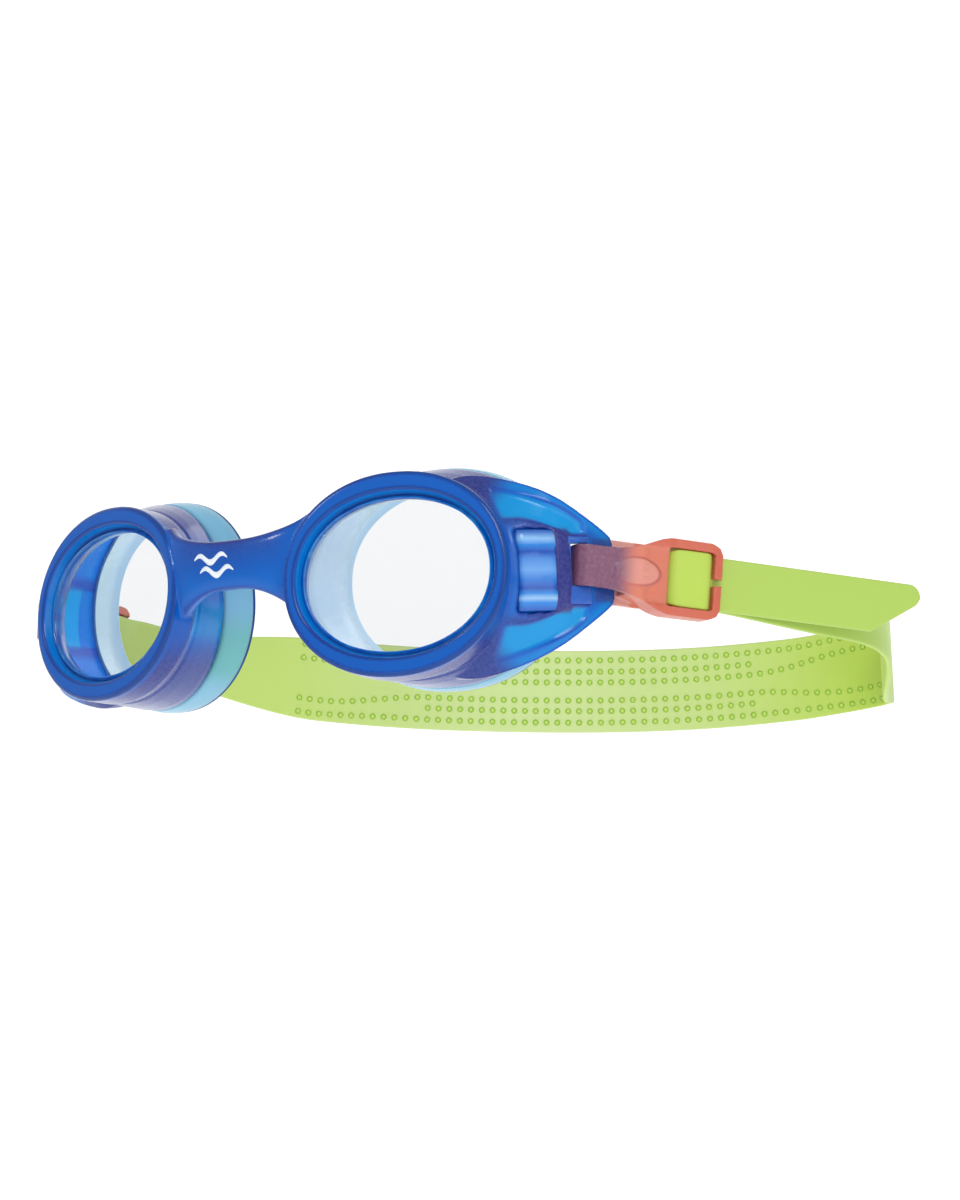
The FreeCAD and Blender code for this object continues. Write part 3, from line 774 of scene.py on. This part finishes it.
# the arm's section: outwards, and height
ARM_SECTION = [(-1.0, 6.9), (-0.3, 7.5), (0.75, 7.3), (1.05, 6.4), (1.1, 4.6), (0.75, 3.9), (0.75, 1.5),
               (0.75, -1.5), (0.75, -3.6), (1.1, -4.3), (1.1, -5.8), (0.8, -7.2), (-0.3, -7.5), (-1.0, -6.9)]
ARM_SPAN = 15.0


def lens_disc(depth, share):
    """A ring of the clear face: share of its full size, and its depth."""
    return oval(RIM_CENTRE + rim_axes()[2] * depth, RIM_YAW, RIM_PITCH, LENS_HALF * share)


def make_lens(material, edge_finish, arm_finish):
    flange = RIM_HALF - LENS_HALF

    def edge(depth, beyond):
        return cup_ring(depth, beyond - flange)

    front = [lens_disc(LENS_FACES[0] + LENS_BOW * k * k, k) for k in LENS_SHARES]
    back = [lens_disc(LENS_FACES[1] + LENS_BOW * k * k, k) for k in reversed(LENS_SHARES)]
    disc = skin("lens", front + back)
    flange_ring = dress(skin("flange", [edge(*p) for p in FLANGE], loop=True), edge_finish)
    rings = []
    for k in np.linspace(0, 1, ARM_RINGS):
        swell = 1 - 0.12 * abs(2 * k - 1) ** 10
        q = ARM_Q[0] + (ARM_Q[1] - ARM_Q[0]) * k
        face = wing_measure(q, 1) - ARM_SINK
        rings.append([wing_point(q, face + n * swell - 3.0 * (v / 14) ** 2, v * (1.0 + 0.05 * swell))
                      for n, v in ARM_SECTION])
    arm = skin("arm", rings)
    # height picks the arm's painted highlight and shade bands
    paint(arm, "height", (places(arm)[:, 2] - SLOT_AT[2] + ARM_SPAN / 2) / ARM_SPAN)
    dress(arm, arm_finish)
    # a glassy frame round the slot, its corners filling the ends of the opening in the rubber
    q0, q1, h = SLOT_Q[0] - 0.7, SLOT_Q[1] + 0.1, SLOT_HALF_H + 1.1
    loop = wing_block("loop", [(q0, -0.8), (q1, -0.8), (q1, 0.95), (q0, 1.15)], (-h, h))
    i0, i1 = SLOT_Q[0] - 0.1, SLOT_Q[1] - 0.4
    hole = wing_block("hole", [(i0, -3), (i1, -3), (i1, 3), (i0, 3)], LOOP_HOLE)
    cut(loop, hole)
    remove(hole)
    bevel = loop.modifiers.new("bevel", "BEVEL")
    bevel.width, bevel.segments = 0.35 * MM, 3
    apply_modifiers(loop).data.shade_smooth()
    # the loop is painted the arm's deep blue, next to a painted dark band
    paint(loop, "height", np.full(len(loop.data.vertices), 0.3))
    return join("lens_skin", [dress(disc, material), flange_ring, arm, dress(loop, arm_finish)])


# ---- gaskets ----
SLEEVE_NOSE, SLEEVE_TEMPLE = 5.6, 14.4   # depth where the sleeve starts on each side
SLEEVE_DEPTHS, SLEEVE_GAP, SLEEVE_WALL = (11.0, 13.0, 15.0, 17.0), 0.12, 1.0
# share of the way from the cup's back edge to the face lip, and distance outside the skirt's line
SKIRT_OUT = [(0.1, -1.7), (0.1, -0.25), (0.3, 0.0), (0.6, 0.15), (0.85, 0.1), (0.96, -0.05)]
LIP = [(1.0, -0.25), (1.02, -0.6), (0.98, -1.0)]
SKIRT_IN = [(0.99, -2.2), (0.96, -3.7), (0.9, -4.0), (0.84, -3.5), (0.6, -2.6), (0.0, -2.9)]
SKIRT_STEPS = 3


def sleeve_ring(depth, inset):
    """A ring of the sleeve, which reaches further forward on the nose side than at the temple."""
    ring = hollow_ring(depth, inset)
    nose = ease(RIM_CENTRE[0] - ring[:, 0], 4.0, 14.0)
    temple = ease(ring[:, 0] - RIM_CENTRE[0], 4.0, 14.0)
    lead = fade(depth, 11.0, 17.0)
    for start, share in ((SLEEVE_NOSE, nose), (SLEEVE_TEMPLE, temple)):
        ring = ring + (hollow_ring(start + 0.4 * (depth - 11.0), inset) - ring) * (share * lead)[:, None]
    return ring


def make_gasket(material, inside_finish, edge):
    sleeve_out = [sleeve_ring(d, SLEEVE_GAP) for d in SLEEVE_DEPTHS]
    sleeve_in = [sleeve_ring(d, SLEEVE_WALL) for d in SLEEVE_DEPTHS[-2::-1]]
    rings = catmull([lip_ring(*p) for p in SKIRT_OUT + LIP + SKIRT_IN], SKIRT_STEPS)
    body = skin("gasket", list(sleeve_out) + list(rings) + sleeve_in, loop=True)
    points = places(body)
    # painted reflection: the lower nose side is tinted green for the strap reflected in it
    nose_side = ease(-points[:, 0], -26, -16)
    low = ease(-points[:, 2], 2, 9) * fade(-points[:, 2], 14, 19)
    paint(body, "green", 0.65 * nose_side * low)
    ring_count = len(sleeve_out) + len(rings) + len(sleeve_in)
    lip_start = len(sleeve_out) + SKIRT_STEPS * (len(SKIRT_OUT) + len(LIP) - 1)
    within = np.repeat(np.arange(ring_count) >= lip_start, AROUND)
    second_finish(dress(body, material, inside_finish), within)
    # a dark bead round the lip, put there as a painted dark line of internal reflection
    a = 2 * np.pi * np.arange(8) / 8
    bead_rings = []
    for angle in a:
        bead_rings.append(lip_ring(1.0 + 0.05 * math.sin(angle), -0.2 + 0.2 * math.cos(angle)))
    bead = skin("bead", bead_rings, loop=True)
    return join("gasket_skin", [body, dress(bead, edge)])


# ---- clips ----
# place along a clip, and its half width there
CLIP_OUTLINE = np.array([
    (-1, NECK_HALF_W), (5.5, NECK_HALF_W), (8.0, 4.2), (9.8, 4.6), (11.8, 5.1), (13.6, 5.75), (15.0, 6.4),
    (16.4, 7.0), (18.4, CLIP_HALF_W), (CLIP_END - 2.6, CLIP_HALF_W), (CLIP_END - 0.9, 6.7), (CLIP_END, 4.9),
])
LEVEL_P = [9, 12.5, *WINDOW_P, CLIP_END]
LANES = np.array([-1, -0.88, -0.76, -0.7, -0.5, -0.25, -0.101, 0.101, 0.25, 0.5, 0.7, 0.76, 0.88, 1])
WINDOW_LANE = 0.74


def clip_half_width(p):
    return np.interp(p, CLIP_OUTLINE[:, 0], CLIP_OUTLINE[:, 1])


def clip_plate(side, name, stations, lanes, top, bottom, holes=()):
    """A plate over stations along the clip and lanes across it, with holes left out."""
    rows, cols = len(stations), lanes(stations[0]).shape[0]
    points = []
    for level in (top, bottom):
        for p in stations:
            v = lanes(p)
            points.append(clip_point(side, p, v, level(p, v)))
    points = np.array(points).reshape(-1, 3)
    offset = rows * cols

    def solid(i, j):
        if not (0 <= i < rows - 1 and 0 <= j < cols - 1):
            return False
        p = (stations[i] + stations[i + 1]) / 2
        v = (lanes(stations[i])[j] + lanes(stations[i])[j + 1]) / 2
        return not any(p0 < p < p1 and v0 < v < v1 for p0, p1, v0, v1 in holes)

    faces = []
    for i in range(rows - 1):
        for j in range(cols - 1):
            if not solid(i, j):
                continue
            a, b, c, d = i * cols + j, i * cols + j + 1, (i + 1) * cols + j + 1, (i + 1) * cols + j
            faces += [(a, b, c, d), (a + offset, b + offset, c + offset, d + offset)]
            for missing, e, f in ((not solid(i - 1, j), a, b), (not solid(i + 1, j), d, c),
                                  (not solid(i, j - 1), a, d), (not solid(i, j + 1), b, c)):
                if missing:
                    faces.append((e, f, f + offset, e + offset))
    return new_object(name, points, faces)


def make_clip(side, material):
    outer, inner = GAP_N + NECK_T, -GAP_N - PLATE_T

    def lanes(p):
        return LANES * clip_half_width(p)

    def top(p, v):
        level = np.interp(p, LEVEL_P, [outer, outer, 2.75, 2.65, 2.35])
        sunk = ease(p, 12.5, 14.0) * fade(np.abs(v), 5.3, 5.7)
        return level - 0.5 * sunk * fade(p, 27.0, 28.0)

    def bottom(p, v):
        rail = np.interp(p, LEVEL_P, [inner, inner, -2.2, -1.6, -1.2])
        prong = ease(p, 27.8, 28.2) * (np.abs(v) < WINDOW_HALF_W)
        return rail * (1 - prong) + PRONG_N * prong

    stations = np.concatenate([np.linspace(9.5, 18.2, 22), np.linspace(18.6, 28.0, 12),
                               np.linspace(28.4, CLIP_END - 0.2, 9)])
    reach = WINDOW_LANE * CLIP_HALF_W
    holes = [(18.3, 28.2, -reach, reach), (28.1, CLIP_END + 1, -SPLIT_HALF, SPLIT_HALF)]
    body = clip_plate(side, "body", stations, lanes, top, bottom, holes)
    # neck and hook: one strip round the flap of the wing
    mid_out, mid_in = GAP_N + NECK_T / 2, -GAP_N - NECK_T / 2
    bend = [(1.2 - 1.7 * math.sin(a), mid_out * math.cos(a)) for a in np.linspace(0.25, math.pi - 0.25, 11)]
    strip = catmull([(10.5, mid_out), (6.0, mid_out), (3.0, mid_out)] + bend + [(3.2, mid_in)], 3)
    direction = np.gradient(strip, axis=0)
    direction /= np.linalg.norm(direction, axis=1)[:, None]
    rings = []
    for (p, n), (dp, dn) in zip(strip, direction):
        w = clip_half_width(p) if n > 0 else NECK_HALF_W
        half = NECK_T / 2
        shape = [(-w, -half), (-w + 0.3, -half), (w - 0.3, -half), (w, -half), (w, half), (w - 0.3, half),
                 (-w + 0.3, half), (-w, half)]
        rings.append([clip_point(side, p - dn * h, v, n + dp * h) for v, h in shape])
    hook = skin("hook", rings)
    plate = clip_plate(side, "plate", np.linspace(3.9, 14.5, 12), lambda p: np.linspace(-6.3, 6.3, 9),
                       lambda p, v: -GAP_N + 0 * v, lambda p, v: inner + 0 * v)
    bar_lanes = np.array([-WINDOW_HALF_W - 0.6, WINDOW_HALF_W + 0.6])
    bar = clip_plate(side, "bar", np.array(BAR_P), lambda p: bar_lanes,
                     lambda p, v: BAR_HALF_T + 0 * v, lambda p, v: -BAR_HALF_T + 0 * v)
    a = np.linspace(0, 2 * np.pi, 49)[:-1]
    pad_rings = []
    for share, rise in ((1.0, -0.8), (1.0, 0.22), (0.94, 0.3), (0.6, 0.4), (0.25, 0.45), (0.002, 0.46)):
        p, v = PAD_P + PAD_HALF[0] * share * np.cos(a), PAD_HALF[1] * share * np.sin(a)
        pad_rings.append(clip_point(side, p, v, np.minimum(top(p, 0 * v), outer) + rise))
    pad = skin("pad", pad_rings)
    obj = mould(join("clip_skin", [body, hook, plate, bar, pad]), 0.19, 4)
    points = places(obj)
    along, up, out = clip_axes(side)
    rel = points - clip_point(side, 0, 0, 0)
    p, v, n = rel @ along, rel @ up, rel @ out
    rail = ease(np.abs(v), 5.3, 5.7) * ease(p, 11.5, 13.5)
    rail = np.clip(rail + ease(p, 27, 28), 0, 1)
    # painted shade: a dark line round the thumb pad's raised edge
    on_pad = np.hypot((p - PAD_P) / PAD_HALF[0], v / PAD_HALF[1])
    outline = np.exp(-((on_pad - 1.03) / 0.08) ** 2)
    outline = outline * ease(n, 1.0, 2.0) * ease(p, PAD_P - 3.0, PAD_P + 2.0)
    pale_leg = fade(n, -1.9, -1.5) * fade(p, 12.0, 15.0)
    thin = 0.55 - 0.5 * rail + 0.25 * (on_pad < 1) - 0.5 * outline + 0.5 * pale_leg
    paint(obj, "thin", np.clip(thin, 0, 1))
    # painted see-through: the neck over the blue flap is painted purple-grey, fading out along the clip
    smoke = 0.9 * fade(p, 6.6, 11.6) * (1 - pale_leg)
    paint(obj, "smoke", np.clip(smoke + 0.35 * outline * (1 - smoke), 0, 1))
    return dress(obj, material)


# ---- strap ----
def strap_section(half, shift=0.0, thick=STRAP_T, steps=5):
    """A rounded rectangle as rows of (across, out)."""
    r = min(0.5, thick / 2 - 0.05)
    half = max(half, r + 0.05)
    corners = [(half - r, thick / 2 - r, 0), (-half + r, thick / 2 - r, 90), (-half + r, -thick / 2 + r, 180),
               (half - r, -thick / 2 + r, 270)]
    points = []
    for x, y, start in corners:
        for k in range(steps):
            c, s = turn(start + 90 * k / (steps - 1))
            points.append((x + r * c + shift, y + r * s))
    return np.array(points)


def strap_line():
    """The strap's middle line and its upright direction, from one clip's prongs to the other's."""
    def wrap(side):
        arc = [(WRAP_P - (LAYER_N + 1.0) * math.sin(a), (LAYER_N + WRAP_RISE * (a < 1.6)) * math.cos(a))
               for a in np.linspace(0.2, math.pi - 0.2, 9)]
        flat = [(STRAP_JOIN_P + 0.3, TAIL_N), (28.0, TAIL_N + 0.03), (27.5, 0.6), (26.9, 1.3),
                (26.0, LAYER_N + WRAP_RISE)]
        lead = [(24.0, -LAYER_N), (27.6, -LAYER_N), (CLIP_END, -LAYER_N - 0.1),
                (CLIP_END + 5, -LAYER_N - 1.2)]
        return [clip_point(side, p, 0, n) for p, n in flat + arc + lead]

    ends = {side: wrap(side) for side in (LEFT, RIGHT)}
    points = catmull(ends[LEFT] + [np.array(p) for p in BAND_ROUTE] + ends[RIGHT][::-1], 12)
    line, s = along_path(points, 0.6)
    tangent = np.gradient(line, axis=0)
    tangent /= np.linalg.norm(tangent, axis=1)[:, None]
    up = np.array([0, 0, 1.0]) - tangent * tangent[:, 2:3]
    up /= np.linalg.norm(up, axis=1)[:, None]
    for side, near in ((LEFT, s), (RIGHT, s[-1] - s)):
        up[near < WRAPPED_S] = clip_axes(side)[1]
    return line, s, tangent, up


def make_strap(material, dots):
    line, s, tangent, up = strap_line()
    out = np.cross(tangent, up)
    # the strap turns over at each bar, so its face is told by the side it was laid from
    band_s = s - LEAD_S
    total = s[-1] - 2 * LEAD_S
    grown = np.minimum(ease(band_s, *WIDEN_LEFT), ease(total - band_s, *WIDEN_RIGHT))
    half = NARROW_HALF + (WIDE_HALF - NARROW_HALF) * grown
    half += WRAP_SWELL * fade(np.minimum(s, s[-1] - s), *WRAP_SWELL_S)
    rings = []
    for k in range(len(line)):
        section = strap_section(half[k])
        rings.append(line[k] + np.outer(section[:, 0], up[k]) + np.outer(section[:, 1], out[k]))
    middle = len(line) // 2
    halves = {LEFT: rings[:middle + 1], RIGHT: rings[:middle - 1:-1]}
    stretch = {LEFT: band_s[:middle + 1], RIGHT: band_s[:middle - 1:-1]}
    straps = {}
    for side, part in halves.items():
        obj = skin("strap_" + SIDE_NAMES[side], part, last_cap=False)
        outer = (strap_section(NARROW_HALF)[:, 1] > 0).astype(float)
        paint(obj, "outer", np.tile(outer, len(part)))
        # painted shade: deeper green towards both ends of the band
        deep = fade(stretch[side], 128, 190) + 0.6 * ease(stretch[side], 235, 275)
        paint(obj, "deep", np.repeat(np.clip(deep, 0, 1), len(outer)))
        straps[side] = dress(obj, material)
    domes = {LEFT: [], RIGHT: []}
    for column in range(DOT_COLUMNS):
        at = DOT_FIRST_S + DOT_PITCH * column + LEAD_S
        beyond = max(0.0, abs(column - (DOT_COLUMNS - 1) / 2) - (DOT_FULL_COLUMNS - 1) / 2)
        edge_row, middle_row, inner_row = DOT_ROWS
        edge_row -= 0.04 * ease(beyond, 3, 12)
        rows = [edge_row, inner_row - 0.14 * ease(beyond, 0, 10)]
        if beyond == 0:
            rows.append(middle_row)
        courses = (line, tangent, up, out, half[:, None])
        spot, x, y, z, width = [interpolate(at, s, values) for values in courses]
        for row in rows:
            for sign in (1, -1):
                centre = spot + y * sign * width * (1 - 2 * row) - z * (STRAP_T / 2)
                domes[LEFT if at < s[middle] else RIGHT].append((centre, x, y, -z))
    for side in straps:
        shell = dress(dot_shell(domes[side]), dots)
        straps[side] = join("strap_" + SIDE_NAMES[side] + "_half", [straps[side], shell])
    return straps


def interpolate(at, s, values):
    return np.array([np.interp(at, s, values[:, k]) for k in range(values.shape[1])])


def dot_shell(domes):
    """Small grip dots, each a low dome with a dimple, its middle painted lighter as a highlight."""
    profile = [(1.0, -0.1), (0.97, 0.08), (0.8, 0.22), (0.62, 0.25), (0.42, 0.16), (0.2, 0.12)]
    a = 2 * np.pi * np.arange(16) / 16
    points, faces, centre_glint = [], [], []
    for centre, x, y, z in domes:
        base = len(points)
        for share, rise in profile:
            for angle in a:
                around = x * math.cos(angle) + y * math.sin(angle)
                points.append(centre + DOT_RADIUS * share * around + z * rise)
            centre_glint += [float(share < 0.5)] * len(a)
        n = len(a)
        for i in range(len(profile) - 1):
            faces += [(base + i * n + j, base + i * n + (j + 1) % n, base + (i + 1) * n + (j + 1) % n,
                       base + (i + 1) * n + j) for j in range(n)]
        last = base + (len(profile) - 1) * n
        faces += [tuple(base + j for j in range(n)), tuple(last + j for j in range(n))]
    shell = new_object("dots", points, faces)
    paint(shell, "centre", centre_glint)
    return shell


def make_tail(side, material):
    h = NARROW_HALF - 0.05
    rings = []
    r, end, heel = TAIL_TIP_R, TAIL_END_P, TAIL_END_P - TAIL_CUT
    slant = math.atan2(2 * h - r, TAIL_CUT - r) - math.asin(r / math.hypot(2 * h - r, TAIL_CUT - r))
    turn_p = end - r + r * math.sin(slant)      # where the slanting edge runs into the rounded tip
    stations = np.concatenate([np.arange(STRAP_JOIN_P, heel, 0.8), np.linspace(heel, end - r, 16)[:-1],
                               end - r + r * np.sin(np.linspace(0, np.pi / 2, 16))])
    for p in stations:
        bulge = math.sqrt(max(0.0, r * r - (p - (end - r)) ** 2))
        high = h if p < end - r else h - r + bulge
        low = -h if p < heel else -h + (p - heel) * math.tan(slant)
        if p > turn_p:
            low = h - r - bulge
        section = strap_section((high - low) / 2, (high + low) / 2)
        rings.append(clip_point(side, p, section[:, 0], TAIL_N + section[:, 1]))
    obj = skin("tail_" + SIDE_NAMES[side], rings)
    paint(obj, "outer", np.tile((strap_section(NARROW_HALF)[:, 1] > 0).astype(float), len(rings)))
    return dress(obj, material)


# ---- printed mark ----
def make_mark(frame_skin, material):
    """Two short rippling strokes printed on the front of the bridge."""
    tree = BVHTree.FromObject(frame_skin, bpy.context.evaluated_depsgraph_get())
    shells = []
    for row, (start, length) in enumerate(((-8.0, 8.2), (-6.6, 8.2))):
        x = np.linspace(start, start + length, 40)
        t = (x - start) / length
        z = 5.9 - 2.6 * row + 0.75 * np.sin(2 * np.pi * 1.5 * t)
        width = 0.62 * np.sin(np.pi * np.clip(t * 0.96 + 0.02, 0, 1)) ** 0.5
        edges = []
        for xx, zz, w in zip(x, z, width):
            ring = []
            for dz, lift in ((w, -0.05), (w, 0.05), (0, 0.07), (-w, 0.05), (-w, -0.05)):
                hit = tree.ray_cast(Vector((xx, -60, zz + dz)) * MM, Vector((0, 1, 0)))
                y = hit[0].y / MM
                ring.append((xx, y - lift, zz + dz))
            edges.append(ring)
        shells.append(skin("stroke", edges))
    return dress(join("bridge_mark", shells), material)


# ---- stage, light and camera ----
def make_stage():
    """A pale floor that sweeps up into a backdrop, well clear of the goggles."""
    floor_z, back, radius, width = -190.0, 900.0, 300.0, 2400.0
    profile = [(-1500.0, floor_z), (back - radius, floor_z)]
    for k in range(1, 13):
        c, s = turn(90 * k / 12)
        profile.append((back - radius + radius * s, floor_z + radius * (1 - c)))
    profile.append((back, 1600.0))
    c, s = turn(VIEW_AZIMUTH)
    points, faces = [], []
    for y, z in profile:
        for x in (-width, width):
            points.append((x * c - y * s, x * s + y * c, z))
    for k in range(len(profile) - 1):
        faces.append((2 * k, 2 * k + 1, 2 * k + 3, 2 * k + 2))
    stage = dress(new_object("studio_floor", points, faces), stage_material())


# name, place, diameter in millimetres, power in watts
LIGHTS = [("key", (480, -480, 520), 380, 2.0), ("fill", (700, -250, 200), 500, 0.6),
          ("glint", (-260, -600, 420), 110, 0.5), ("rim", (100, 700, 500), 500, 0.7)]
LIGHT_AIM = (20, 20, 0)
WORLD_COLOR, WORLD_STRENGTH = (0.95, 0.97, 1.0, 1), 0.55


def make_light(name, place, size, power):
    data = bpy.data.lights.new(name, "AREA")
    data.shape, data.size, data.energy = "DISK", size * MM, power
    lamp = bpy.data.objects.new(name, data)
    lamp.location = Vector(place) * MM
    lamp.rotation_euler = (Vector(LIGHT_AIM) - Vector(place)).to_track_quat("-Z", "Y").to_euler()
    link(lamp)


def make_lights():
    world = bpy.context.scene.world or bpy.data.worlds.new("studio")
    bpy.context.scene.world = world
    world.use_nodes = True
    background = world.node_tree.nodes["Background"]
    background.inputs["Color"].default_value = WORLD_COLOR
    background.inputs["Strength"].default_value = WORLD_STRENGTH
    for light in LIGHTS:
        make_light(*light)


def make_camera():
    c, s = turn(VIEW_AZIMUTH)
    ce, se = turn(VIEW_ELEVATION)
    cr, sr = turn(VIEW_ROLL)
    back = np.array([s * ce, -c * ce, se])
    level = np.array([c, s, 0])
    upright = np.cross(back, level)
    right = cr * level + sr * upright
    up = -sr * level + cr * upright
    place = right * VIEW_RIGHT + up * VIEW_UP + back * VIEW_DISTANCE
    data = bpy.data.cameras.new("camera")
    data.lens, data.sensor_width, data.clip_start = VIEW_LENS, 36.0, 0.01
    camera = bpy.data.objects.new("camera", data)
    axes = Matrix((right, up, back)).transposed().to_4x4()
    camera.matrix_world = Matrix.Translation(Vector(place) * MM) @ axes
    bpy.context.scene.camera = link(camera)


# ---- assembly ----
def main():
    bpy.context.scene.view_settings.view_transform = "Standard"
    make_camera()
    make_lights()
    make_stage()
    rubber, clear, soft, edge = frame_material(), lens_material(), gasket_material(), edge_material()
    coral, lime, dots, white = clip_material(), strap_material(), dot_material(), print_material()

    skin_frame = make_frame(rubber, inside_material())
    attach(skin_frame, "goggle")
    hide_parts("frame")
    mark = make_mark(skin_frame, white)
    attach(mark, "goggle")

    lens = make_lens(clear, lens_edge_material(), arm_material())
    gasket = make_gasket(soft, sleeve_material(), edge)
    for source, node, slot in ((lens, "lens", "lens_clear"), (gasket, "gasket", "gasket_rubber")):
        twin = flip_x(source, node + "_right_skin")
        source.name = node + "_left_skin"
        for obj, side in ((source, "left"), (twin, "right")):
            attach(obj, "goggle")
            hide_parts(node + "_" + side)

    straps = make_strap(lime, dots)
    for side, name in SIDE_NAMES.items():
        clip = make_clip(side, coral)
        clip.name = "clip_" + name + "_skin"
        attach(clip, name + "_clip")
        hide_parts("clip_" + name)
        strap = straps[side]
        start, finish = [(0.0, y * MM, 0.0) for y in BEND_Y[side]]
        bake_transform(strap, name + "_clip", "goggle", start=start, end=finish)
        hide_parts("strap_end_" + name)
        tail = make_tail(side, lime)
        first, last = clip_point(side, CLIP_END, 0, 0) * MM, clip_point(side, 62.0, 0, 0) * MM
        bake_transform(tail, name + "_clip", name + "_tail", start=tuple(first), end=tuple(last))
        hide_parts("strap_tail_" + name)
    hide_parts("strap_band")


main()
